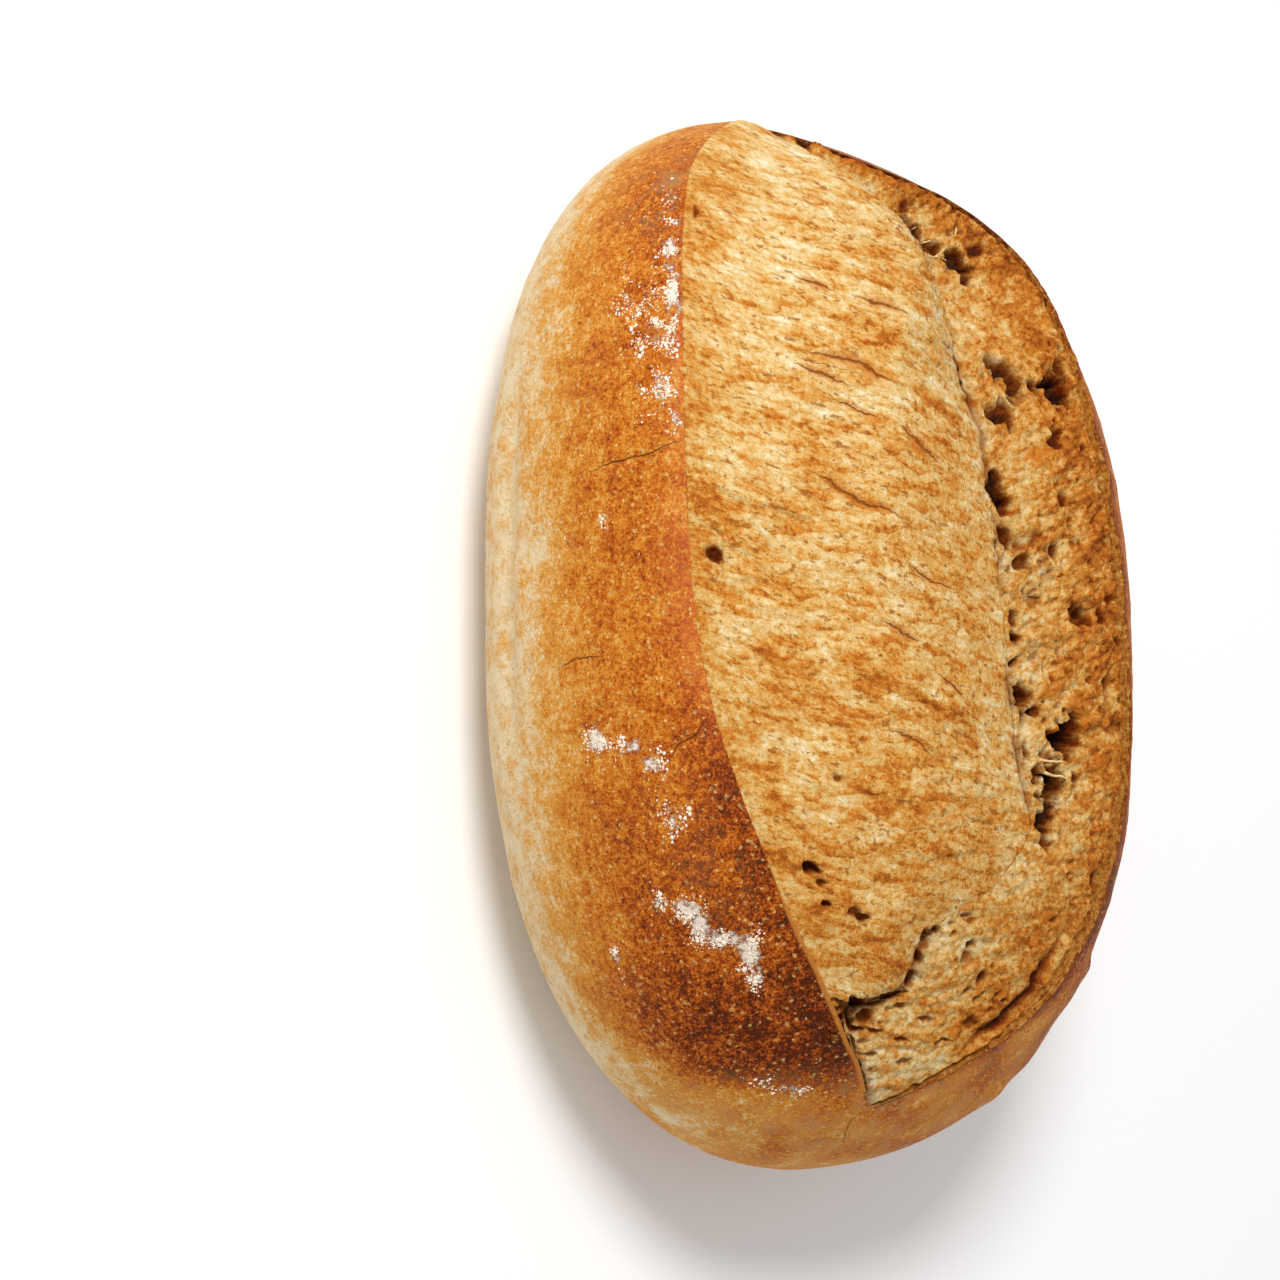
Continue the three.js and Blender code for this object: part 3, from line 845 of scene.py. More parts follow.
class LOAF_OT_crust(bpy.types.Operator):
    """Makes the baked crust, from the base to the lips of the score"""

    bl_idname = "loaf.crust"
    bl_label = "Crust"

    def execute(self, context):
        form = context.scene.loaf_form
        bpy.ops.object.select_all(action="DESELECT")
        bpy.ops.mesh.primitive_uv_sphere_add(
            segments=CRUST_COLUMNS, ring_count=RINGS, radius=1.0, rotation=(0, math.pi / 2, 0)
        )
        bpy.ops.object.transform_apply(rotation=True)
        crust = context.active_object
        ball = vertex_places(crust.data)
        ring = np.round(np.arccos(np.clip(-ball[:, 0], -1, 1)) / math.pi * RINGS)
        turn = np.arctan2(-ball[:, 1], -ball[:, 2]) / (2 * math.pi) % 1
        column = np.round(turn * CRUST_COLUMNS) % CRUST_COLUMNS
        cut, angle, across, width = crust_table(ring, column)
        self.lay(crust.data, column, ring)
        self.shape(crust.data, cut, angle, across, width, form)
        finish_piece(crust, "crust", crust_material(context.scene.loaf_finish))
        return {"FINISHED"}

    def lay(self, mesh, column, ring):
        """Maps the crust as one sheet, split along the middle of its base."""
        vertex, face, counts = corner_table(mesh)
        u = column[vertex] / CRUST_COLUMNS
        v = ring[vertex] / RINGS
        starts = np.concatenate([[0], np.cumsum(counts)[:-1]])
        wide = (np.maximum.reduceat(u, starts) - np.minimum.reduceat(u, starts) > 0.5)[face]
        u = np.where(wide & (u < 0.5), u + 1, u)
        pole = (v == 0) | (v == 1)
        others = np.add.reduceat(np.where(pole, 0, u), starts) / 2
        u = np.where(pole, others[face], u)
        lay_out(mesh, np.stack([u, v], -1))

    def shape(self, mesh, cut, angle, across, width, form):
        """Places the crust's vertices and stores what its material reads."""
        x, y, z = cut.dome(angle).T / MM
        wide = rough_space(WIDE_RELIEF, x, y, z)
        blister = np.maximum(rough_space(BLISTERS, x, y, z), 0) ** 1.5 * form.blister * 2
        by_left = cut.round_from(cut.left_lip, angle)
        by_right = cut.round_from(angle, cut.right_lip)
        to_lip = np.minimum(np.abs(by_left), np.abs(by_right))
        solid = smooth_step(0, TAPER, cut.radius) * smooth_step(0, 4, to_lip)
        split, split_on, sink = self.cracks(x, angle, cut)
        lift = cut.lift(angle) + (form.crust_relief * wide + blister - sink * MM) * solid
        lift = lift + self.foot(x, angle) * MM
        outer = cut.dome(angle, np.where(z > 0, lift, 0))
        share = np.nan_to_num(across)
        smooth, outward, _ = cut.burst(share)
        from_left = share * width / MM
        from_right = (1 - share) * width / MM
        length, seed, octaves = TORN_EDGE
        ragged = TORN_EDGE_DEPTH * rough(x / length, seed, 0.5, octaves)
        band = (from_right + ragged) / cut.band
        depth = np.minimum(np.interp(from_left, *LEFT_EDGE), np.interp(band, *RIGHT_EDGE))
        depth = np.where((from_left == 0) | (from_right == 0), 0, depth)
        depth = depth * smooth_step(2, 12, width / MM)
        inner = smooth - outward * (depth * MM)[:, None]
        scored = ~np.isnan(across)
        place_vertices(mesh, np.where(scored[:, None], inner, outer))
        unscored = width < CLOSED_WIDTH
        by_right_lip = from_right < from_left
        sides = (("left_edge", by_left, from_left, ~by_right_lip),)
        sides += (("right_edge", by_right, from_right, by_right_lip),)
        for name, past, inwards, nearer in sides:
            past = np.where(unscored | (past > 0), -EDGE_LIMIT, np.maximum(past, -EDGE_LIMIT))
            inwards = np.where(nearer, inwards, -EDGE_LIMIT)
            paint(mesh, name, np.where(scored, inwards, past))
        paint(mesh, "split", split)
        paint(mesh, "split_on", split_on)
        paint(mesh, "bake", self.bake(cut, angle, x, y, z, wide))
        paint(mesh, "flour", self.flour(cut, angle, x))
        paint(mesh, "haze", self.haze(angle, x, z, wide))
        flush = hill((x + 2) / 40) * hill(by_left / 9) + hill((x + 60) / 30) * hill(by_left / 4)
        paint(mesh, "flush", np.clip(flush, 0, 1))
        paint(mesh, "flow_x", x)

    def foot(self, x, angle):
        """Height in mm of the groove and the knobs along the left foot."""
        depth, at, half = FOOT_GROOVE
        groove = depth * hill((angle - at) / half) * window(x, (-75, -45), (10, 45))
        height, at, half = FOOT_KNOBS
        knobs = height * hill((angle - at) / half) * hill((x + 8) / 16)
        return knobs * np.maximum(lumps(x / KNOB_PITCH, 1.5, 0.5), 0) - groove

    def cracks(self, x, angle, cut):
        """Signed distance to the nearest crack in mm, how open it is there, and its depth."""
        down = cut.round_from(0, angle)
        best = np.full(x.shape, NO_CRACK)
        on = np.zeros(x.shape)
        sink = np.zeros(x.shape)
        for run, width, depth in CRUST_CRACKS:
            at_x, at_angle = np.array(run, float).T
            line = np.stack([at_x, cut_at(at_x).round_from(0, at_angle)], -1)
            gap, inside = signed_gap(x, down, line)
            closer = np.abs(gap) < np.abs(best)
            best = np.where(closer, gap, best)
            on = np.where(closer, inside * width, on)
            sink = np.maximum(sink, depth * inside * hill(gap / 1.1))
        return best, on, sink

    def bake(self, cut, angle, x, y, z, wide):
        """How dark the crust bakes: pale by the base and darkest towards the +X end."""
        height = z + 5 * wide
        right_wall = smooth_step(0, 60, angle)
        rise = smooth_step(30 - 20 * right_wall, 80 - 20 * right_wall, height)
        by_left = cut.round_from(cut.left_lip, angle)
        by_right = cut.round_from(cut.right_lip, angle)
        left_side = 1 - smooth_step(-30, -8, angle)
        bake = mixed(
            BAKE,
            height=rise,
            front=smooth_step(20, 80, x) * rise,
            back=smooth_step(-60, -110, x) * rise,
            end=window(x, (76, 102), (108, 118)) * smooth_step(30, 62, height) * left_side,
            scorch=hill((x - 40) / 22) * hill(by_left / 8),
            left_wall=hill((x - 70) / 30) * hill((height - 50) / 20),
        )
        blotched = 0.5 * rough_space(BAKE_BLOTCHES, x, y, z)
        left_end = EVEN_BAKE * smooth_step(106, 122, x) * left_side
        bake = bake + (LEFT_END_BAKE + blotched - bake) * left_end
        right_end = EVEN_BAKE * smooth_step(70, 100, x) * (1 - left_side)
        bake = bake + (RIGHT_END_BAKE + blotched - bake) * right_end
        ear = EAR_BAKE * hill(by_right / 6) * (by_right > 0)
        left_lip = LEFT_LIP_BAKE * hill(by_left / 12) * (by_left <= 0) * smooth_step(5, 45, x)
        bake = bake + (ear + left_lip) * (1 - smooth_step(108, 119, x)) + BAKE["wide"] * wide
        return np.clip(np.where(z <= 0, BASE_BAKE + 0.1 * wide, bake), 0, 1)

    def haze(self, angle, x, z, wide):
        """Where a thin veil of flour pales the crust."""
        front = 0.7 * smooth_step(104, 118, x)
        right_end = 0.5 * smooth_step(80, 104, x) * smooth_step(-20, 0, angle)
        back = 0.6 * smooth_step(-84, -110, x) * smooth_step(50, 80, z)
        foot = 0.5 * (1 - smooth_step(20, 44, z))
        thickest = np.maximum.reduce([front, right_end, back, foot])
        return np.clip(thickest + 0.2 * wide, 0, 1)

    def flour(self, cut, angle, x):
        """How densely flour lies on the crust."""
        flour = np.zeros(x.shape)
        for at_x, at_angle, half_length, half_width, dense in FLOUR:
            away = cut.round_from(at_angle, angle) / half_width
            flour = np.maximum(flour, dense * hill(0.8 * np.hypot((x - at_x) / half_length, away)))
        return flour


def lump_table():
    """The corners and faces of a small lump with twenty sides."""
    golden = (1 + math.sqrt(5)) / 2
    corners = []
    for axis in range(3):
        for first in (-1, 1):
            for second in (-golden, golden):
                corner = [0.0, 0.0, 0.0]
                corner[(axis + 1) % 3] = first
                corner[(axis + 2) % 3] = second
                corners.append(corner)
    corners = np.array(corners) / math.hypot(1, golden)
    faces = []
    for i in range(12):
        for j in range(i + 1, 12):
            for k in range(j + 1, 12):
                trio = corners[[i, j, k]]
                sides = np.linalg.norm(trio - np.roll(trio, 1, axis=0), axis=1)
                if sides.max() < 1.2:
                    out = np.dot(np.cross(trio[1] - trio[0], trio[2] - trio[0]), trio[0]) > 0
                    faces.append((i, j, k) if out else (i, k, j))
    return corners, np.array(faces)


def add_joined(name, places, faces, spots, material):
    """Makes one piece of many small closed shapes from a table of places and of faces."""
    bpy.ops.object.select_all(action="DESELECT")
    mesh = bpy.data.meshes.new(name)
    mesh.from_pydata(places.tolist(), [], faces.tolist())
    piece = bpy.data.objects.new(name, mesh)
    bpy.context.scene.collection.objects.link(piece)
    piece.select_set(True)
    bpy.context.view_layer.objects.active = piece
    lay_out(mesh, spots)
    finish_piece(piece, name, material)


def cell_spots(count, sides):
    """A map that gives each of many faces its own cell of the square."""
    across = math.ceil(math.sqrt(count))
    cell = np.arange(count)
    corner = np.stack([cell % across, cell // across], -1)[:, None, :]
    shape = np.array(((0.1, 0.1), (0.9, 0.1), (0.9, 0.9), (0.1, 0.9)))[:sides]
    return ((corner + shape) / across).reshape(-1, 2)


class LOAF_OT_flour(bpy.types.Operator):
    """Scatters grains and small clumps of flour over the crust"""

    bl_idname = "loaf.flour"
    bl_label = "Flour"

    DRAWS = 9000
    SEED = 11
    SPREAD = 0.62              # of the grains, as a share of a patch's half size
    CLUMPS = (3, 3, 70.0, 3)   # length, width, seed and octaves
    CLUMPED = (-0.15, 0.25)
    GRAIN = (0.08, 0.32)       # radius of the smallest and the largest single grain, in mm
    DENTS = (0.7, 1.3)
    SHAPES = ((0.7, 0.7, 0.45), (1.4, 1.1, 0.8))

    def execute(self, context):
        random = np.random.default_rng(self.SEED)
        spots = np.array(FLOUR)
        weight = spots[:, 2] * spots[:, 3] * spots[:, 4]
        pick = random.choice(len(spots), self.DRAWS, p=weight / weight.sum())
        x = spots[pick, 0] + self.SPREAD * spots[pick, 2] * random.normal(size=self.DRAWS)
        cut = cut_at(x)
        away = self.SPREAD * spots[pick, 3] * random.normal(size=self.DRAWS) * MM
        angle = spots[pick, 1] + np.degrees(away / cut.radius)
        clumped = rough_plane(self.CLUMPS, x, cut.round_from(0, angle))
        keep = clumped > random.uniform(*self.CLUMPED, self.DRAWS)
        keep = keep & (angle < cut.left_lip - 1)
        guess = cut.dome(angle)[keep]
        smallest, largest = self.GRAIN
        size = smallest + (largest - smallest) * random.random(len(guess)) ** 2.5
        size = size * MM * (1 + 1.1 * (clumped[keep] > 0.25) * random.random(len(guess)))
        crust = bpy.data.objects["crust"]
        corners, sides = lump_table()
        places = []
        for middle, radius in zip(guess, size):
            _, spot, normal, _ = crust.closest_point_on_mesh(Vector(middle))
            turn = normal.to_track_quat("Z", "X").to_matrix()
            own = corners * random.uniform(*self.DENTS, (len(corners), 1))
            own = own * random.uniform(*self.SHAPES)
            spin = Matrix.Rotation(random.uniform(0, 2 * math.pi), 3, "Z")
            places.append(np.array(spot) + radius * own @ (np.array(turn) @ np.array(spin)).T)
        first = len(corners) * np.arange(len(places))
        faces = (sides[None] + first[:, None, None]).reshape(-1, 3)
        material = flour_material(context.scene.loaf_finish)
        spots = cell_spots(len(faces), 3)
        add_joined("flour_grains", np.concatenate(places), faces, spots, material)
        return {"FINISHED"}


def flour_material(finish):
    """Dry flour, a little yellower here and there."""
    bench = Bench("dry_flour")
    blotch = bench.step(bench.noise(bench.object_place(), 1.2 * MM, 2, 0.5), -0.1, 0.15)
    skin = bench.blend(blotch * 0.6, colour(finish.flour), YELLOW_FLOUR)
    return bench.finish({"Base Color": skin, "Roughness": 0.95, "Specular IOR Level": FLOUR_SHINE})


SPECK_SIZE = 1.5 * MM
BEAD_SIZE = 4.2 * MM


def crust_material(finish):
    """Baked crust: foot to gold to brown, with blisters, cracks and flour."""
    bench = Bench("baked_crust")
    place = bench.object_place()
    wandering = bench.warped(place, 3 * MM, 0.5 * MM)
    patches = bench.noise(place, 7 * MM, 5, 0.65)
    grain = bench.noise(place, 1.5 * MM, 4, 0.7)
    fine = bench.noise(place, 0.6 * MM, 2, 0.6)
    tiny = bench.cells(wandering, SPECK_SIZE, "F1", "Distance")
    chance = bench.cells(wandering, SPECK_SIZE, "F1", "Color")
    larger = bench.cells(wandering, BEAD_SIZE, "F1", "Distance")
    baked = bench.painted("bake")
    shade = baked + patches * 0.8 + (grain * 1.1 + fine * 0.8) * (0.45 + baked * 1.15)
    skin = bench.ramp(
        shade,
        (
            (0.0, FLOURED_FOOT),
            (0.1, colour(finish.foot)),
            (0.22, LIGHT_GOLD),
            (0.36, colour(finish.gold)),
            (0.6, colour(finish.brown)),
            (0.78, RED_BROWN),
            (1.0, colour(finish.dark)),
        ),
    )
    flushed = bench.painted("flush") * (0.35 + grain * 1.5)
    skin = bench.blend(flushed, skin, FLUSH)
    speck = bench.step(tiny + grain * 0.6 + chance * 0.6, 0.48, 0.32)
    bead = bench.step(larger + grain * 0.6, 0.20, 0.10)
    pale = bench.blend(0.65, skin, PALE_SPECK)
    skin = bench.blend(speck * 0.8 + bead * 0.5, skin, pale)
    veil = bench.painted("haze") * bench.step(grain * 0.7 + patches * 1.3, -0.08, 0.2) * 0.7
    skin = bench.blend(veil, skin, VEIL)
    # Small dark spots: painted shade in tiny pits of the crust.
    pit = bench.step(bench.noise(place, 1.1 * MM, 2, 0.5), 0.15, 0.25)
    skin = bench.blend(pit * 0.35, skin, colour(finish.dark))
    skin, edge_bump = crust_edges(bench, place, skin, grain, finish)
    wobble = bench.noise(place, 2.5 * MM, 3, 0.6) * 1.3
    gap = abs(bench.painted("split") + wobble)
    on = bench.painted("split_on")
    crack = bench.step(gap - on, 0.10, -0.15)
    rim = bench.step(gap - on * 3.0, 0.3, -0.6)
    skin = bench.blend(rim * 0.15, skin, colour(finish.gold))
    skin = bench.blend(crack * 0.7, skin, CRUST_CRACK)
    dust = bench.noise(place, 2.2 * MM, 5, 0.75)
    dusted = bench.step(bench.painted("flour") + dust * 2.2, 0.5, 0.8)
    skin = bench.blend(dusted * 0.85, skin, colour(finish.flour))
    height = grain * 0.9 + fine * 0.35 + speck * 0.3 + bead * 0.5 + dusted * 0.4 + patches * 0.8
    return bench.finish(
        {
            "Base Color": skin,
            "Roughness": 0.55 + dusted * 0.4 + grain * 0.2,
            "Normal": bench.bump(height - crack * 0.6 + edge_bump, CRUST_BUMP),
            "Specular IOR Level": CRUST_SHINE,
        }
    )


def crust_edges(bench, place, skin, grain, finish):
    """Colours the torn edges inside both lips, layered inside the ear."""
    torn_rim = bench.step(bench.painted("flow_x"), 52.0, 80.0)
    left = bench.painted("left_edge") + grain * 1.2 + torn_rim * 1.7
    right = bench.painted("right_edge") + grain * 1.2
    strata = bench.node(
        "ShaderNodeCombineXYZ",
        None,
        {"X": bench.painted("right_edge") * 1.5, "Y": bench.painted("flow_x") * 0.16},
    )
    layers = bench.noise(strata, 1.0, 4, 0.75) + grain * 1.2
    rim = bench.ramp(
        0.5 + layers * 1.5 + grain * 0.5,
        (
            (0.0, LAYERS_DARKEST),
            (0.4, LAYERS_DARK),
            (0.75, LAYERS_LIGHT),
            (1.0, LAYERS_LIGHTEST),
        ),
    )
    skin = bench.blend(bench.step(left, 0.3, 1.1) * 0.8, skin, LEFT_TORN_EDGE)
    torn = bench.noise(place, 3.5 * MM, 4, 0.7)
    dark_line = bench.step(abs(right + 0.4 + grain * 3.0 + torn * 4.0), 1.1, 0.4)
    skin = bench.blend(bench.step(right, 0.1, 0.5), skin, rim)
    skin = bench.blend(dark_line * 0.8, skin, DARK_LINE)
    return skin, layers * bench.step(right, 0.1, 0.6) * 1.2


# ---- The burst crumb -----------------------------------------------------------------------

BURST_FROM, BURST_TO = -84.0, 61.5   # stations where the burst goes under the crust
TUCK = 7 * MM                        # how far a sheet's edge goes down inside the loaf
LEAN = 2.2 * MM                      # and how far it leans sideways on its way
TUCK_COLUMNS = 3
HEART = Vector((0, -5 * MM, 45 * MM))  # the hidden point that the sheets' undersides close on
PATH_STEPS = 400                     # steps across the burst in which its length is measured
CROWDING = 0.06                      # how much closer the rows lie towards both ends
WANDER = 1.8 * MM                    # how far the fissure strays to either side,
WANDER_PITCH = 7 * MM
WANDER_WIDTH = 20 * MM               # and its share of the width where the burst is narrower
# Where the fissure has grown together, and where it shows in places only, along x.
HEALED = ((40 * MM, 54 * MM), (72 * MM, 80 * MM))
BROKEN_UP = ((-70 * MM, -50 * MM), (30 * MM, 45 * MM))
# How uneven the pits and the cracks are: length, width, seed and octaves of their lumps.
PIT_BEND_X = (3.2 * MM, 3.2 * MM, 40.0, 4)
PIT_BEND_DOWN = (3.2 * MM, 3.2 * MM, 50.0, 4)
PIT_UNEVEN = (1.8 * MM, 1.8 * MM, 60.0, 2)
CRACK_WANDER = (5 * MM, 5 * MM, 31.0, 3)
MOST_BEND = 4.5                      # in mm, how far a pit's outline strays at most
PIT_BEYOND = 0.025                   # a fissure pit lies this share past the fissure

# Strong cracks in the swell, as runs of (x in mm, share across), with a width and a drop in mm.
SWELL_CRACKS = (
    (((-64, 0.23), (-63, 0.31), (-57, 0.41)), 0.30, 0.9),
    (((-61, 0.20), (-59, 0.25), (-56, 0.31)), 0.24, 0.6),
    (((-79, 0.35), (-78, 0.40), (-76, 0.46)), 0.24, 0.7),
    (((-35, 0.21), (-27, 0.31), (-24, 0.40)), 0.27, 0.8),
    (((-46, 0.41), (-43, 0.45), (-38, 0.51)), 0.30, 0.9),
    (((2, 0.32), (4, 0.36), (6, 0.41)), 0.27, 0.7),
    (((14, 0.45), (16, 0.48), (19, 0.51)), 0.24, 0.6),
    (((-84, 0.22), (-82, 0.27), (-80, 0.30)), 0.21, 0.5),
    (((-52, 0.27), (-49, 0.33), (-48, 0.36)), 0.18, 0.5),
    (((-13, 0.40), (-9, 0.46), (-8, 0.52)), 0.21, 0.6),
    (((28, 0.30), (30, 0.36), (34, 0.40)), 0.21, 0.5),
)
# More pits, in the same way as the large ones, and pits along the fissure, without a share.
SMALL_PITS = (
    (-48, 0.94, 1.6, 1.8, 2.5),
    (-24, 0.955, 2.2, 1.8, 3),
    (-9, 0.95, 2.0, 1.8, 2),
    (-4, 0.92, 2.2, 2.6, 3),
    (-2, 0.86, 1.6, 1.6, 2),
    (2, 0.965, 1.8, 1.6, 2.5),
    (-64, 0.86, 2.0, 2.4, 4),
    (-70, 0.95, 2.4, 2.2, 3.5),
    (-101, 0.02, 2.6, 1.0, 1.2),
    (39, 0.18, 1.2, 1.4, 1.2),
    (28, 0.78, 3.2, 2.8, 9),
    (38, 0.83, 2.2, 1.8, 5),
    (99, 0.20, 1.0, 3.5, 1.4),
    (102, 0.36, 0.9, 3.0, 1.2),
    (105, 0.15, 0.8, 3.0, 1.0),
    (97, 0.46, 1.0, 4.0, 1.2),
    (102, 0.62, 0.8, 3.0, 1.0),
    (107, 0.42, 0.8, 3.0, 1.0),
    (94, 0.32, 0.9, 3.5, 1.2),
    (98, 0.72, 0.8, 3.0, 1.0),
    (90, 0.60, 1.2, 2.0, 1.6),
    (79, 0.55, 1.6, 1.8, 3.0),
    (75, 0.42, 1.8, 1.6, 3.5),
    (94, 0.05, 2.4, 5.0, 8),
    (92.5, 0.17, 1.5, 6.0, 6),
    (90.5, 0.29, 1.3, 5.0, 5),
    (87, 0.35, 2.4, 1.5, 4),
    (82, 0.365, 2.4, 1.4, 4),
    (77, 0.385, 2.0, 1.6, 4),
    (99, 0.10, 1.5, 4.0, 2.5),
    (64, 0.10, 1.0, 1.6, 1.5),
    (69, 0.09, 1.2, 1.6, 2.0),
    (72.5, 0.17, 1.4, 2.6, 2.5),
)
FISSURE_PITS = (
    (-108, 2.4, 2.0, 5),
    (-101, 2.6, 2.4, 6),
    (-37, 3.0, 2.0, 6),
    (-29, 1.8, 1.8, 4),
    (-23, 2.2, 1.8, 4),
    (-2, 2.2, 1.6, 4),
    (3, 2.6, 1.6, 4),
    (9, 1.8, 1.4, 3),
    (16, 2.0, 2.4, 5),
    (23, 2.4, 1.8, 4),
    (31, 2.2, 1.6, 5),
)
# Creases of the torn face, as the swell's cracks.
FACE_CREASES = (
    (((72, 0.93), (78, 0.90), (84, 0.89), (90, 0.91), (97, 0.88), (103, 0.84), (109, 0.92)), 1.0, 3.0),
    (((36, 0.74), (43, 0.77), (48, 0.75), (55, 0.74)), 1.1, 5.0),
)


def travel(points):
    """The way gone along each row of a table of points."""
    steps = np.linalg.norm(np.diff(points, axis=1), axis=-1)
    return np.concatenate([np.zeros((len(steps), 1)), np.cumsum(steps, axis=1)], axis=1)


class Sheet:
    """One table of points over part of the burst, evenly spaced along each row."""

    def __init__(self, rows, columns, on_face):
        self.on_face = on_face
        s = np.linspace(0, 1, rows)[:, None]
        first, last = (math.sin(math.radians(a)) for a in (BURST_FROM, BURST_TO))
        share = first + (last - first) * (s - CROWDING * np.sin(2 * math.pi * s))
        fine = np.linspace(0, 1, PATH_STEPS)[None, :]
        cut = Cut(share + 0 * fine)
        _, _, wide = cut.burst(0 * cut.x)
        wander = WANDER * rough(cut.x[:, :1] / WANDER_PITCH, 3.0, 0.5, 4)
        wander = wander / np.maximum(wide[:, :1], WANDER_WIDTH)
        self.fissure = along(FISSURE_STATIONS, FISSURE, cut.station[:, :1]) + wander
        start, end = (self.fissure, 1) if on_face else (0, self.fissure)
        path = start + (end - start) * fine
        points, _, _ = cut.burst(path)
        travelled = travel(points)
        even = np.clip((np.arange(columns) - TUCK_COLUMNS) / (columns - 1 - 2 * TUCK_COLUMNS), 0, 1)
        self.across = np.stack(
            [np.interp(even * way[-1], way, row) for way, row in zip(travelled, path)]
        )
        self.cut = Cut(share + 0 * self.across)
        self.smooth, self.outward, self.width = self.cut.burst(self.across)
        self.x = self.cut.x
        self.run = self.from_spine(cut, fine)
        self.arc = even[None, :] * travelled[:, -1:]
        self.far = (1 - even[None, :]) * travelled[:, -1:]
        self.from_left = self.across * self.width
        self.from_right = (1 - self.across) * self.width
        column = np.arange(columns)
        beyond = np.maximum(TUCK_COLUMNS - column, column - (columns - 1 - TUCK_COLUMNS))
        ends = np.minimum(np.arange(rows), np.arange(rows)[::-1])
        side = np.clip(beyond, 0, TUCK_COLUMNS) / TUCK_COLUMNS
        end = np.clip(2 - ends, 0, 2) / 2
        self.tuck = np.maximum(side[None, :], end[:, None])
        outwards = np.where(column < columns / 2, -1, 1) * side
        self.aside = outwards[None, :] + 0 * self.x
        self.normal = self.normals(self.smooth)
        broken = smooth_step(-0.15, 0.2, rough(self.x / (8 * MM), 9.5, 0.5, 3))
        hidden = 0.75 * window(self.x, *BROKEN_UP) * (1 - broken)
        self.gap_shows = (1 - window(self.x, *HEALED)) * (1 - hidden)

    def from_spine(self, cut, fine):
        """How far each point lies across the burst from the loaf's spine, along the surface."""
        points, _, _ = cut.burst(fine + 0 * cut.x)
        way = travel(points)
        middle = [
            np.interp(spine, row[:, 1], went)
            for spine, row, went in zip(cut.spine[:, 0], points, way)
        ]
        rows = [
            np.interp(across, fine[0], went) - start
            for across, went, start in zip(self.across, way, middle)
        ]
        return np.stack(rows)

    def normals(self, points):
        """The way out of a table of points, at each of them."""
        normal = np.cross(np.gradient(points, axis=0), np.gradient(points, axis=1))
        length = np.linalg.norm(normal, axis=-1, keepdims=True)
        return np.where(length > 1e-12, normal / np.maximum(length, 1e-12), self.outward)

    def places(self, height):
        """The sheet's points, raised by a table of heights and tucked down round its rim."""
        up = self.smooth + self.normal * height[..., None]
        sideways = np.cross(self.outward, np.array([1.0, 0, 0]))
        lean = LEAN * self.aside[..., None] * -sideways
        return up - self.outward * (TUCK * self.tuck[..., None]) + lean

    def pits(self):
        """Depth of the torn pits, and the painted shade in them from 0 to 1, darkest at the bottom of
        deep pits.
        """
        bend_x = rough_plane(PIT_BEND_X, self.x, self.from_left)
        bend_down = rough_plane(PIT_BEND_DOWN, self.x, self.from_left)
        uneven = 1 + 0.5 * rough_plane(PIT_UNEVEN, self.x, self.from_left)
        holes = PITS + SMALL_PITS + tuple((at, None, *rest) for at, *rest in FISSURE_PITS)
        sink = 0
        dark = 0
        for pit_x, share, half_length, half_width, depth in holes:
            bend = min(MOST_BEND, 0.45 * half_length + 0.3 * half_width) * MM
            middle = (self.fissure + PIT_BEYOND if share is None else share) * self.width
            away = (self.from_left + bend * bend_down - middle) / (half_width * MM)
            gap = np.hypot((self.x + bend * bend_x - pit_x * MM) / (half_length * MM), away)
            shape = 1 - smooth_step(0.5, 1.0, gap)
            sink = np.maximum(sink, depth * MM * shape * uneven)
            # Painted shade: darker towards each pit's bottom, and more so in deeper pits.
            shade = 1 - smooth_step(0.40 + depth / 45, 1.05, gap)
            dark = np.maximum(dark, shade * min(0.42 + depth / 12, 1))
        return sink, dark

    def cracks(self, runs):
        """Signed distance to the nearest crack in mm, how wide it is there, and its drop."""
        best = np.full(self.x.shape, NO_CRACK)
        on = np.zeros(self.x.shape)
        drop = np.zeros(self.x.shape)
        wander = 0.9 * rough_plane(CRACK_WANDER, self.x, self.from_left)
        for run, width, depth in runs:
            at_x, at_across = np.array(run, float).T
            _, _, wide = cut_at(at_x).burst(at_across)
            line = np.stack([at_x, at_across * wide / MM], -1)
            gap, inside = signed_gap(self.x / MM, self.from_left / MM, line)
            gap = gap + wander
            closer = np.abs(gap) < np.abs(best)
            best = np.where(closer, gap, best)
            on = np.where(closer, inside * width, on)
            ledge = np.where(gap > 0, hill(gap / (1.1 + width)), hill(gap / (0.3 + width)))
            drop = np.maximum(drop, depth * MM * inside * ledge)
        return best, on, drop


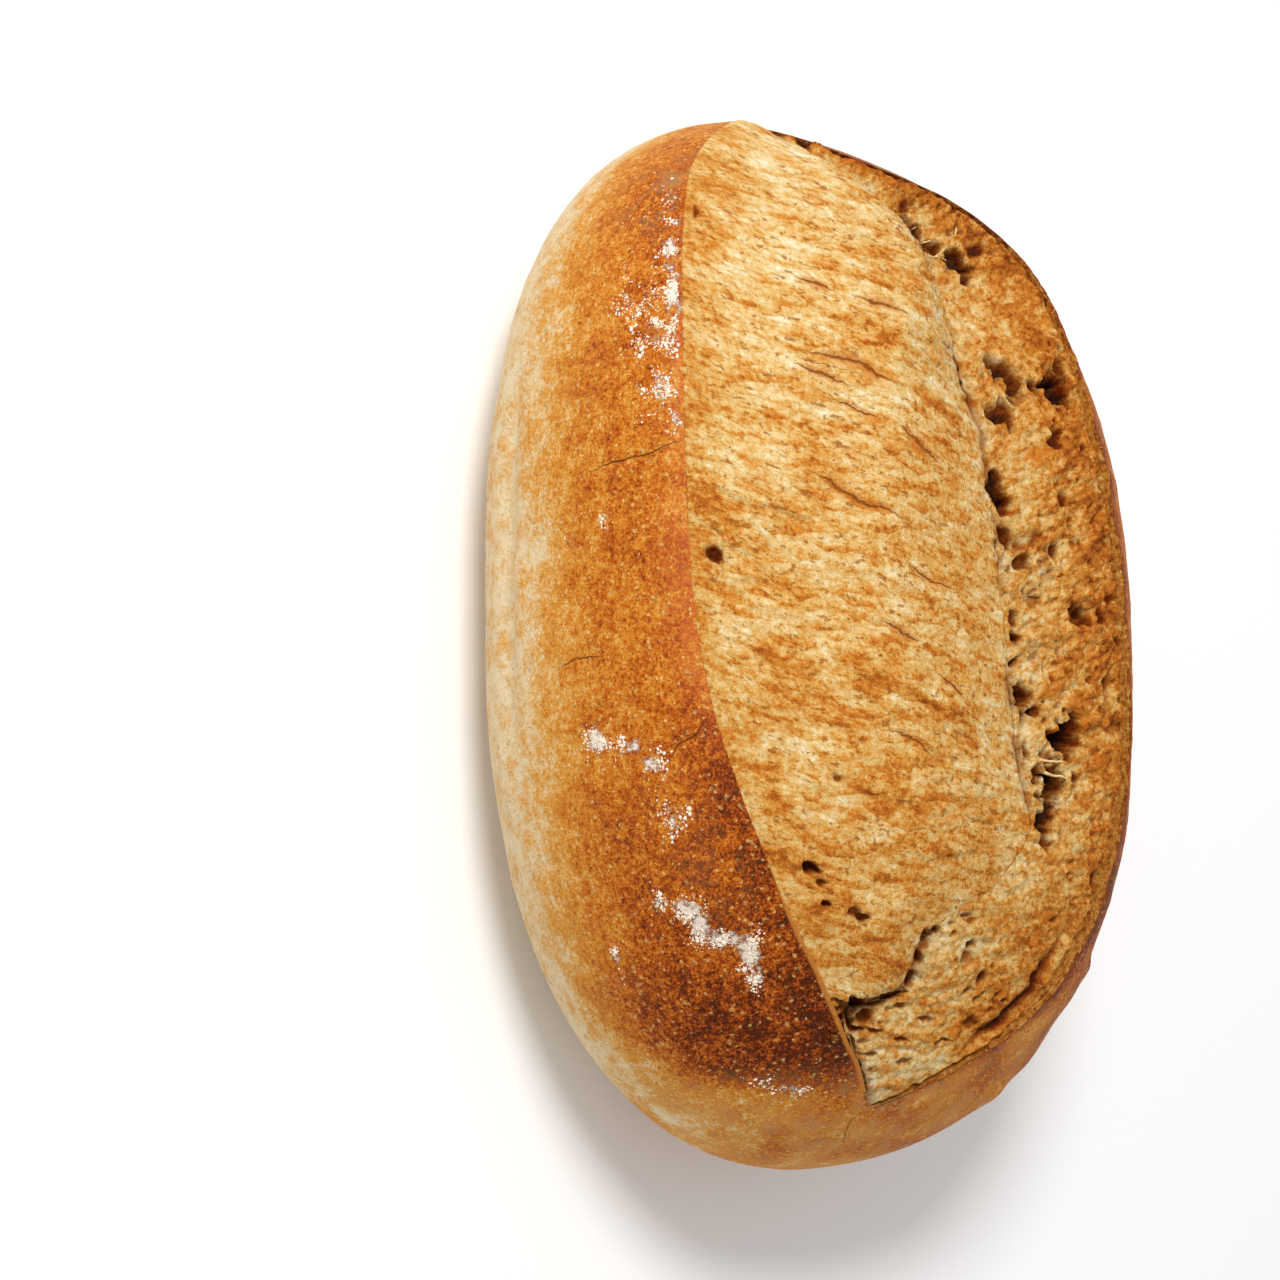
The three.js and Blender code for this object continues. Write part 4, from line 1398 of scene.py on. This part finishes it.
def add_sheet(context, name, sheet, height, painted, material):
    """Turns a grid into a sheet of the burst, closed below at the loaf's heart."""
    rows, columns = sheet.x.shape
    bpy.ops.object.select_all(action="DESELECT")
    bpy.ops.mesh.primitive_grid_add(x_subdivisions=rows - 1, y_subdivisions=columns - 1, size=2.0)
    piece = context.active_object
    mesh = piece.data
    flat = vertex_places(mesh)
    table = np.lexsort((np.round(flat[:, 1], 5), np.round(flat[:, 0], 5))).reshape(rows, columns)
    places = np.empty_like(flat)
    places[table.ravel()] = sheet.places(height).reshape(-1, 3)
    place_vertices(mesh, places)
    bpy.ops.object.mode_set(mode="EDIT")
    bpy.ops.mesh.select_mode(type="EDGE")
    bpy.ops.mesh.select_all(action="DESELECT")
    bpy.ops.mesh.select_non_manifold()
    bpy.ops.mesh.extrude_region_move()
    bpy.ops.mesh.merge(type="CENTER")
    bpy.ops.object.mode_set(mode="OBJECT")
    heart = len(mesh.vertices) - 1
    mesh.vertices[heart].co = HEART
    bpy.ops.object.mode_set(mode="EDIT")
    bpy.ops.mesh.select_all(action="SELECT")
    bpy.ops.mesh.normals_make_consistent(inside=False)
    bpy.ops.object.mode_set(mode="OBJECT")
    for key, values in painted.items():
        full = np.zeros((len(mesh.vertices),) + values.shape[2:])
        full[table.ravel()] = values.reshape((-1,) + values.shape[2:])
        paint(mesh, key, full)
    lay_sheet(mesh, table, heart)
    finish_piece(piece, name, material)


def lay_sheet(mesh, table, heart):
    """Maps a sheet as a rectangle, with its hidden underside in a narrow strip beside it."""
    rows, columns = table.shape
    count = len(mesh.vertices)
    u = np.zeros(count)
    v = np.zeros(count)
    u[table] = (np.arange(columns) / (columns - 1) * 0.97)[None, :]
    v[table] = (np.arange(rows) / (rows - 1))[:, None]
    rim = np.concatenate([table[0], table[1:, -1], table[-1, -2::-1], table[-2:0:-1, 0]])
    turn = np.zeros(count)
    turn[rim] = np.arange(len(rim)) / len(rim)
    vertex, face, counts = corner_table(mesh)
    starts = np.concatenate([[0], np.cumsum(counts)[:-1]])
    below = (np.maximum.reduceat(vertex, starts) == heart)[face]
    around = turn[vertex]
    wide = np.maximum.reduceat(np.where(vertex == heart, 0, around), starts) > 0.9
    around = np.where(wide[face] & (around < 0.1) & (vertex != heart), 1.0, around)
    total = np.add.reduceat(np.where(vertex == heart, 0, around), starts) / 2
    around = np.where(vertex == heart, total[face], around)
    strip = np.where(vertex == heart, 1.0, 0.975)
    spots = np.stack([np.where(below, strip, u[vertex]), np.where(below, around, v[vertex])], -1)
    lay_out(mesh, spots)


def shingles(q, a, long, wide, seed):
    """Flakes that overlap like bark: each rises towards its +X edge and then drops."""
    nearest, second, down, _, number = crazing(q / long, a / wide, seed)
    gap = second - nearest
    tilt = 0.4 + number
    line = (1 - smooth_step(0.02, 0.18, gap)) * (number > 0.3)
    return tilt * down * 1.1 + 0.6 * (number - 0.5) - 0.5 * line, number


class LOAF_OT_swell(bpy.types.Operator):
    """Makes the swollen crumb between the left lip and the fissure"""

    bl_idname = "loaf.swell"
    bl_label = "Swollen crumb"

    ROWS = 470
    COLUMNS = 198
    # Lumps over the sheet: length, width, seed and octaves.
    SHIFT = (8 * MM, 12 * MM, 4.0, 3)
    SWAY = (7 * MM, 8 * MM, 9.0, 3)
    WORN = (22 * MM, 26 * MM, 6.0, 2)
    BROAD = (16 * MM, 16 * MM, 1.0, 2)
    GRAIN = (1.7 * MM, 1.7 * MM, 2.0, 2)
    PATCHES = (7 * MM, 13 * MM, 36.0, 4)
    MIDDLING = (3.6 * MM, 5 * MM, 5.0, 3)
    # Flakes: length, width and seed.
    PLATES = (5.0 * MM, 9 * MM, 1.0)
    SCALES = (2.4 * MM, 4 * MM, 2.0)
    # How toasted the crumb is, by the cause named.
    TOAST = {
        "least": 0.33,
        "broad": 0.07,
        "patches": 0.18,
        "low": 0.01,
        "strip": 0.12,
        "front": 0.05,
        "torn": 0.2,
        "onwards": 0.06,
        "top_strip": 0.09,
        "plates": 0.14,
        "back": -0.10,
        "start": -0.03,
    }

    def execute(self, context):
        form = context.scene.loaf_form
        sheet = Sheet(self.ROWS, self.COLUMNS, False)
        x, arc, run = sheet.x, sheet.arc, sheet.run
        lean = 0.15 - 0.09 * smooth_step(20 * MM, 80 * MM, x)
        slant = x - lean * (run + 22 * MM) + 3 * MM * hill(arc / (20 * MM))
        q = slant + 2.0 * MM * rough_plane(self.SHIFT, x, run)
        a = run + 3 * MM * rough_plane(self.SWAY, x, run)
        plate, number = shingles(q, a, *self.PLATES)
        small, _ = shingles(q + 1.3 * MM, a, *self.SCALES)
        worn = smooth_step(-0.3, 0.35, rough_plane(self.WORN, x, run))
        broad = rough_plane(self.BROAD, x, run)
        grain = rough_plane(self.GRAIN, x, run)
        patches = rough_plane(self.PATCHES, q, a)
        mid = rough_plane(self.MIDDLING, q, a)
        strip = hill(arc / (9 * MM)) * smooth_step(-126 * MM, -60 * MM, -np.abs(x + 40 * MM))
        flaky = worn * (plate + 0.5 * small) + 0.5 * mid + 0.4 * grain
        edge = smooth_step(0, 4 * MM, arc)
        height = (form.flake * flaky + 1.0 * MM * broad) * (0.25 + 0.75 * edge)
        split, split_on, drop = sheet.cracks(SWELL_CRACKS)
        pit, pit_shade = sheet.pits()
        tear_drop, torn = self.tears(sheet)
        step = (0.8 * sheet.cut.step - 0.3 * MM) * hill(sheet.from_left / (14 * MM))
        height = height - drop - pit - tear_drop - step
        low = hill(np.hypot((x - 66 * MM) / (42 * MM), (sheet.across - 0.25) / 0.4))
        top_strip = 1 - smooth_step(12 * MM, 15 * MM, arc + 3 * MM * broad)
        top_strip = top_strip * (1 - smooth_step(-100 * MM, -85 * MM, x))
        toast = mixed(
            self.TOAST,
            broad=broad,
            patches=patches,
            low=low,
            strip=strip,
            front=smooth_step(45 * MM, 80 * MM, x),
            torn=torn,
            onwards=smooth_step(-90 * MM, 0, x),
            top_strip=top_strip,
            plates=number - 0.5,
            back=hill((x + 118 * MM) / (18 * MM)),
            start=1 - smooth_step(-75 * MM, -35 * MM, x),
        )
        # Painted shade along the fissure and on the swell's wall that goes down into it, stored with
        # the pits' painted shade as deep; it also pales the toast a little.
        deep = hill(sheet.far / (3 * MM)) * sheet.gap_shows
        fissure_wall_shade = 0.8 * np.maximum(sheet.aside, 0) * sheet.gap_shows
        painted = {
            "flow": np.stack([slant, run, height], -1),
            "toast": toast - 0.05 * deep,
            "deep": np.maximum.reduce([pit_shade, 0.35 * deep, fissure_wall_shade]),
            "face": 0.75 * strip,
            "split": split,
            "split_on": split_on,
        }
        material = crumb_material(context.scene.loaf_finish)
        add_sheet(context, "swollen_crumb", sheet, height, painted, material)
        return {"FINISHED"}

    def tears(self, sheet):
        """Drop behind each long tear across the swell, and where its edge toasts."""
        total = 0
        torn = 0
        for tear_x, tear_across, half_across, drop in TEARS:
            away = (sheet.across - tear_across) * sheet.width / (half_across * MM)
            wave = 1.5 * MM * rough(sheet.from_left / (6 * MM), 1.0, tear_x, 2)
            middle = (tear_x + 0.36 * half_across * away) * MM
            behind = (sheet.x - middle - wave) / (1.8 * MM)
            fall = np.where(behind < 0, hill(behind * 0.35), hill(behind * 1.4))
            ledge = hill(away * 0.7) * fall
            total = total - drop * 0.5 * MM * ledge
            torn = np.maximum(torn, hill(away * 0.7) * hill(behind - 0.6))
        return total, torn


class LOAF_OT_face(bpy.types.Operator):
    """Makes the craggy torn face between the fissure and the ear"""

    bl_idname = "loaf.face"
    bl_label = "Torn face"

    ROWS = 560
    COLUMNS = 160
    # Lumps over the sheet: length, width, seed and octaves.
    WARP = (8 * MM, 10 * MM, 14.0, 3)
    SWAY = (6 * MM, 6 * MM, 19.0, 3)
    CRAGS = (8 * MM, 12 * MM, 8.0, 4)
    MIDDLING = (3.6 * MM, 6 * MM, 28.0, 3)
    FIBRE = (1.3 * MM, 6 * MM, 3.0, 3)
    GRAIN = (1.3 * MM, 1.3 * MM, 2.0, 2)
    CLUSTER = (15 * MM, 12 * MM, 21.0, 2)
    RIM_WAVE = (4 * MM, 6 * MM, 0.5, 3)
    LAYERS = (0.9 * MM, 11 * MM, 5.0, 2)
    BROAD = (16 * MM, 12 * MM, 1.0, 2)
    # Holes: length, width and seed.
    WIDE_HOLES = (7 * MM, 7.5 * MM, 3.0)
    SMALL_HOLES = (2.6 * MM, 3 * MM, 13.0)

    def execute(self, context):
        form = context.scene.loaf_form
        sheet = Sheet(self.ROWS, self.COLUMNS, True)
        x, arc, run = sheet.x, sheet.arc, sheet.run
        to_lip = np.clip((sheet.across - sheet.fissure) / (1 - sheet.fissure), 0, 1)
        warp = 2.0 * MM * rough_plane(self.WARP, x, run)
        slant = x + 0.35 * (run - 30 * MM) * (1 - smooth_step(-20 * MM, 80 * MM, x))
        front = smooth_step(40 * MM, 70 * MM, x)
        q = slant + warp * (1 - 0.7 * front)
        a = run + 2.5 * MM * rough_plane(self.SWAY, x, run)
        crag = 1 - 2.4 * np.abs(rough_plane(self.CRAGS, q, a))
        mid = 1 - 2.4 * np.abs(rough_plane(self.MIDDLING, q, a))
        fibre = rough_plane(self.FIBRE, q, a)
        grain = rough_plane(self.GRAIN, x, run)
        cluster = smooth_step(-0.15, 0.35, rough_plane(self.CLUSTER, x, run))
        long, wide, seed = self.WIDE_HOLES
        big, _, _, _, number = crazing(q / long, a / wide, seed)
        wide_holes = (1 - smooth_step(0.12, 0.42, big)) * (number > 0.6) * cluster
        long, wide, seed = self.SMALL_HOLES
        tiny, _, _, _, chance = crazing(q / long, a / wide, seed)
        small_holes = (1 - smooth_step(0.15, 0.45, tiny)) * (chance > 0.55)
        small_holes = small_holes * (0.3 + 0.7 * cluster)
        edge = 0.35 + 0.65 * smooth_step(0, 4 * MM, arc)
        edge = edge * smooth_step(0, 3 * MM, sheet.far)
        relief = 0.5 * crag + 0.5 * mid + 0.42 * fibre + 0.28 * grain
        crag_here = form.crag * (1 - 0.45 * front)
        height = crag_here * (relief - 0.5) - 2.6 * MM * wide_holes - 1.1 * MM * small_holes
        height = height * (0.15 + 0.85 * edge)
        _, _, drop = sheet.cracks(FACE_CREASES)
        pit, pit_shade = sheet.pits()
        rim = (1.5 * sheet.cut.band + 0.9 * rough_plane(self.RIM_WAVE, x, run)) * MM
        under_rim = 2.4 * MM * (1 - smooth_step(rim, rim + 1.6 * MM, sheet.from_right))
        layers = rough_plane(self.LAYERS, sheet.from_right, x)
        layered = hill(sheet.from_right / (5 * MM))
        height = height - drop - pit - under_rim + 0.45 * MM * layers * layered
        broad = rough_plane(self.BROAD, x, run)
        pale_end = smooth_step(98 * MM, 108 * MM, x)
        toast = 0.27 + 0.27 * smooth_step(0.15, 0.9, to_lip) + 0.10 * broad
        toast = toast + (0.14 * crag + 0.14 * mid + 0.16 * fibre) * (1 - 0.35 * front)
        toast = toast - 0.10 * pale_end + 0.3 * layers * layered
        toast = toast + 0.06 * hill((x - 74 * MM) / (26 * MM))
        # Painted shade in the holes, along the fissure, on the wall that goes down into it and in the
        # creases, stored as deep.
        deep = hill(arc / (3.5 * MM)) * sheet.gap_shows
        dark = np.maximum.reduce([pit_shade, 0.8 * wide_holes, 0.45 * small_holes, 0.45 * deep])
        dark = np.maximum(dark, 0.8 * np.maximum(-sheet.aside, 0) * sheet.gap_shows)
        dark = np.maximum(dark, 0.9 * (drop / (3 * MM)) ** 2)
        painted = {
            "flow": np.stack([slant, run, height], -1),
            "toast": toast - 0.15 * deep,
            "deep": np.clip(dark, 0, 1),
            "face": 1 + 0 * x,
            "split": NO_CRACK + 0 * x,
            "split_on": 0 * x,
        }
        material = bpy.data.materials["torn_crumb"]
        add_sheet(context, "torn_face", sheet, height, painted, material)
        return {"FINISHED"}


PLATE_SIZE = 4.2 * MM
SCALE_SIZE = 1.8 * MM
PORE_SIZE = 2.6 * MM


def crumb_material(finish):
    """Torn crumb: pale flakes, toasted edges, cracks, crags and deep holes, with painted shade in its
    holes, pores and fissure.
    """
    bench = Bench("torn_crumb")
    flow = bench.painted("flow", "Vector")
    face = bench.painted("face")
    ragged = bench.warped(flow, 4.0 * MM, 1.0 * MM)
    streaks = bench.scaled(ragged, (1.0, 0.4, 1.0))
    dashes = bench.noise(streaks, 1.5 * MM, 3, 0.6)
    blotches = bench.noise(bench.scaled(ragged, (1.0, 0.6, 1.0)), 5.0 * MM, 4, 0.6)
    mottle = bench.noise(flow, 1.7 * MM, 4, 0.72)
    grain = bench.noise(flow, 0.6 * MM, 3, 0.75)
    flat = 1.0 - face
    plate, plate_edge = bench.flakes(bench.scaled(ragged, (1.0, 0.5, 1.0)), PLATE_SIZE)
    scale, scale_edge = bench.flakes(bench.scaled(ragged, (1.0, 0.6, 1.0)), SCALE_SIZE)
    dash = bench.step(dashes + mottle * 0.4, 0.11, 0.17)
    blotch = bench.step(blotches + dashes * 0.5, 0.06, 0.18)
    tone = bench.cells(bench.scaled(ragged, (1.0, 0.5, 1.0)), PLATE_SIZE, "F1", "Color") - 0.5
    toast = bench.painted("toast") + mottle * (1.05 + face * 0.3) + grain * 0.6 + blotches * 0.9
    toast = toast + tone * 0.16 * flat + plate_edge * 0.18 * flat + scale_edge * 0.12
    skin = bench.ramp(
        toast,
        (
            (0.0, PALEST_CRUMB),
            (0.2, colour(finish.crumb)),
            (0.42, LIGHT_TOAST),
            (0.6, colour(finish.toast)),
            (0.78, DARK_TOAST),
            (1.0, DARKEST_TOAST),
        ),
    )
    skin = bench.blend(blotch * (0.32 + face * 0.28), skin, BLOTCH)
    # Brown dashes, partly toasted flake edges and partly painted shadow beneath them.
    skin = bench.blend(dash * (0.72 - face * 0.45), skin, DASH)
    gap = abs(bench.painted("split") + bench.noise(flow, 2.0 * MM, 3, 0.6) * 1.6)
    fringe = bench.step(gap - bench.painted("split_on") * 7.0, 0.3, -1.2)
    skin = bench.blend(fringe * 0.55, skin, CRACK_FRINGE)
    crack = bench.step(gap - bench.painted("split_on"), 0.12, -0.15)
    skin = bench.blend(crack * 0.8, skin, CRUMB_CRACK)
    # Small pores: dented by the bump and darkened with painted shade.
    chance = bench.cells(ragged, PORE_SIZE, "F1", "Color")
    spots = bench.cells(ragged, PORE_SIZE, "F1", "Distance") + grain * 0.5 + chance * 0.25
    pores = bench.step(spots, 0.17, 0.09)
    skin = bench.blend(pores * (0.65 - face * 0.3), skin, PORE_SHADE)
    # Painted shade from deep: multiplied into the holes, the fissure and the creases, and darkest at
    # their bottoms.
    deep = bench.painted("deep")
    skin = bench.blend(bench.step(deep, 0.05, 0.6), skin, HOLLOW_SHADE, "MULTIPLY")
    skin = bench.blend(bench.step(deep + mottle * 0.5, 0.55, 0.9), skin, colour(finish.char))
    height = plate * (0.15 + flat * 0.35) + scale * 0.25 + mottle * (1.6 + face * 0.6) + grain * 0.8
    height = height - dash * 0.35 - pores * 0.5 - crack * 0.8
    return bench.finish(
        {
            "Base Color": skin,
            "Roughness": 0.75 + grain * 0.2,
            "Normal": bench.bump(height, CRUMB_BUMP),
            "Specular IOR Level": CRUMB_SHINE,
        }
    )


# Strands of crumb left across the cavities: from and to (x in mm, share across), and thickness.
STRANDS = (
    ((-96, 0.72), (-108, 0.93), 0.40),
    ((-102, 0.74), (-105, 0.88), 0.34),
    ((-106, 0.77), (-111, 0.90), 0.30),
    ((-99, 0.70), (-98, 0.80), 0.30),
    ((32, 0.73), (33, 0.81), 0.55),
    ((35, 0.74), (38, 0.83), 0.60),
)
STRAND_STEPS = 12
STRAND_SIDES = 6


class LOAF_OT_strands(bpy.types.Operator):
    """Stretches thin strands of crumb across the torn cavities"""

    bl_idname = "loaf.strands"
    bl_label = "Strands"

    def execute(self, context):
        places = []
        faces = []
        for number, (start, end, thick) in enumerate(STRANDS):
            t = np.linspace(0, 1, STRAND_STEPS)
            x = start[0] + (end[0] - start[0]) * t
            across = start[1] + (end[1] - start[1]) * t
            points, outward, _ = cut_at(x).burst(across)
            rise = -3.2 + 2.8 * np.sin(math.pi * t) ** 0.7 + 0.8 * rough(3 * t, number, 0.5, 2)
            points = points + outward * (rise * MM)[:, None]
            points[:, 0] += 0.8 * MM * rough(4 * t, number, 7.5, 2)
            swelling = 1 + 1.2 * np.abs(2 * t - 1) ** 3 + 0.3 * rough(5 * t, number, 3.5, 2)
            width = thick / 2 * MM * swelling
            along_way = np.gradient(points, axis=0)
            along_way /= np.linalg.norm(along_way, axis=1, keepdims=True)
            side = np.cross(along_way, outward)
            side /= np.linalg.norm(side, axis=1, keepdims=True)
            up = np.cross(side, along_way)
            turn = np.arange(STRAND_SIDES) / STRAND_SIDES * 2 * math.pi
            ring = np.cos(turn)[None, :, None] * side[:, None]
            ring = ring + np.sin(turn)[None, :, None] * up[:, None]
            tube = points[:, None] + width[:, None, None] * ring
            first = number * (STRAND_STEPS * STRAND_SIDES + 2)
            places.append(np.concatenate([tube.reshape(-1, 3), points[:1], points[-1:]]))
            faces += self.tube_faces(first)
        corners = np.array(faces)
        material = strand_material(context.scene.loaf_finish)
        spots = cell_spots(len(corners), 3)
        add_joined("crumb_strands", np.concatenate(places), corners, spots, material)
        return {"FINISHED"}

    def tube_faces(self, first):
        """Triangles of one strand whose rings start at a vertex number, closed at both ends."""
        near = first + STRAND_STEPS * STRAND_SIDES
        last = first + (STRAND_STEPS - 1) * STRAND_SIDES
        faces = []
        for j in range(STRAND_SIDES):
            k = (j + 1) % STRAND_SIDES
            faces.append((near, first + j, first + k))
            faces.append((near + 1, last + k, last + j))
            for i in range(STRAND_STEPS - 1):
                low = first + i * STRAND_SIDES
                high = low + STRAND_SIDES
                faces.append((low + j, high + j, high + k))
                faces.append((low + j, high + k, low + k))
        return faces


def strand_material(finish):
    """Pale stretched crumb."""
    bench = Bench("crumb_strand")
    blotch = bench.step(bench.noise(bench.object_place(), 2.0 * MM, 3, 0.6), -0.1, 0.15)
    skin = bench.blend(blotch, colour(finish.crumb), STRAND_BLOTCH)
    return bench.finish({"Base Color": skin, "Roughness": 0.8, "Specular IOR Level": CRUMB_SHINE})


# ---- The stage -----------------------------------------------------------------------------

LENS = 98.3                    # in mm,
SENSOR = 36                    # on a sensor this wide
NEAREST = 0.01                 # nothing closer to the camera is drawn
FLOOR_SIZE = 8.0
FLOOR_DROP = 0.05 * MM         # keeps the table clear of the loaf's base
AIM = Vector((-1.0 * MM, -41.5 * MM, 30.5 * MM))
LOOK_TILT = math.radians(35)   # from straight down towards the left wall
LOOK_TURN = math.radians(6)    # and towards the +X end
LOOK_ROLL = math.radians(0.5)


def look_axes():
    """The camera's right, up and backward directions: the picture's top is the -X end."""
    back = Vector(
        (
            math.sin(LOOK_TURN),
            -math.cos(LOOK_TURN) * math.sin(LOOK_TILT),
            math.cos(LOOK_TURN) * math.cos(LOOK_TILT),
        )
    )
    up = Vector((-1, 0, 0))
    up = (up - back * up.dot(back)).normalized()
    right = up.cross(back)
    up = (up * math.cos(LOOK_ROLL) + right * math.sin(LOOK_ROLL)).normalized()
    return up.cross(back), up, back


class LOAF_OT_stage(bpy.types.Operator):
    """Makes the table, the light and the camera"""

    bl_idname = "loaf.stage"
    bl_label = "Stage"

    def execute(self, context):
        stage = context.scene.loaf_stage
        self.add_floor(stage)
        self.add_camera(context, stage)
        self.add_lights(context, stage)
        return {"FINISHED"}

    def add_floor(self, stage):
        bpy.ops.object.select_all(action="DESELECT")
        bpy.ops.mesh.primitive_plane_add(size=FLOOR_SIZE, location=(0, 0, -FLOOR_DROP))
        floor = bpy.context.active_object
        floor.name = "floor"
        bench = Bench("pale_table")
        top = colour(stage.floor)
        inputs = {"Base Color": top, "Roughness": 0.9, "Specular IOR Level": TABLE_SHINE}
        floor.data.materials.append(bench.finish(inputs))

    def add_camera(self, context, stage):
        right, up, back = look_axes()
        data = bpy.data.cameras.new("camera")
        data.lens = LENS
        data.sensor_width = SENSOR
        data.clip_start = NEAREST
        camera = bpy.data.objects.new("camera", data)
        turn = Matrix((right, up, back)).transposed()
        camera.matrix_world = Matrix.Translation(AIM + back * stage.distance) @ turn.to_4x4()
        context.scene.collection.objects.link(camera)
        context.scene.camera = camera

    def add_lights(self, context, stage):
        scene = context.scene
        world = bpy.data.worlds.new("sky")
        world.use_nodes = True
        world.node_tree.nodes["Background"].inputs["Color"].default_value = (1, 1, 1, 1)
        world.node_tree.nodes["Background"].inputs["Strength"].default_value = stage.sky
        scene.world = world
        scene.view_settings.view_transform = "Standard"
        lights = (
            ("key_light", (-0.60, -0.50, 1.10), 0.40, stage.key_power),
            ("fill_light", (0.70, 0.60, 0.90), 1.20, stage.fill_power),
        )
        for name, place, size, power in lights:
            data = bpy.data.lights.new(name, "AREA")
            data.shape = "DISK"
            data.size = size
            data.energy = power
            light = bpy.data.objects.new(name, data)
            light.location = place
            light.rotation_euler = (-Vector(place)).to_track_quat("-Z", "Y").to_euler()
            light.visible_camera = False
            scene.collection.objects.link(light)


class LOAF_PT_panel(bpy.types.Panel):
    """Lists the loaf's steps and settings"""

    bl_label = "Sourdough Loaf"
    bl_idname = "LOAF_PT_panel"
    bl_space_type = "VIEW_3D"
    bl_region_type = "UI"
    bl_category = "Loaf"

    def draw(self, context):
        for step in STEPS:
            self.layout.operator(step)
        for name in SETTINGS:
            settings = getattr(context.scene, name)
            for prop in settings.bl_rna.properties.keys():
                if prop not in ("rna_type", "name"):
                    self.layout.prop(settings, prop)


STEPS = ("loaf.crust", "loaf.flour", "loaf.swell", "loaf.face", "loaf.strands", "loaf.stage")
SETTINGS = {"loaf_form": LoafForm, "loaf_finish": LoafFinish, "loaf_stage": LoafStage}
CLASSES = (
    LoafForm,
    LoafFinish,
    LoafStage,
    LOAF_OT_crust,
    LOAF_OT_flour,
    LOAF_OT_swell,
    LOAF_OT_face,
    LOAF_OT_strands,
    LOAF_OT_stage,
    LOAF_PT_panel,
)


def register():
    for each in CLASSES:
        bpy.utils.register_class(each)
    for name, group in SETTINGS.items():
        setattr(bpy.types.Scene, name, bpy.props.PointerProperty(type=group))


def unregister():
    for name in SETTINGS:
        delattr(bpy.types.Scene, name)
    for each in reversed(CLASSES):
        bpy.utils.unregister_class(each)


def main():
    register()
    for step in STEPS:
        group, name = step.split(".")
        getattr(getattr(bpy.ops, group), name)()


if __name__ == "__main__":
    main()
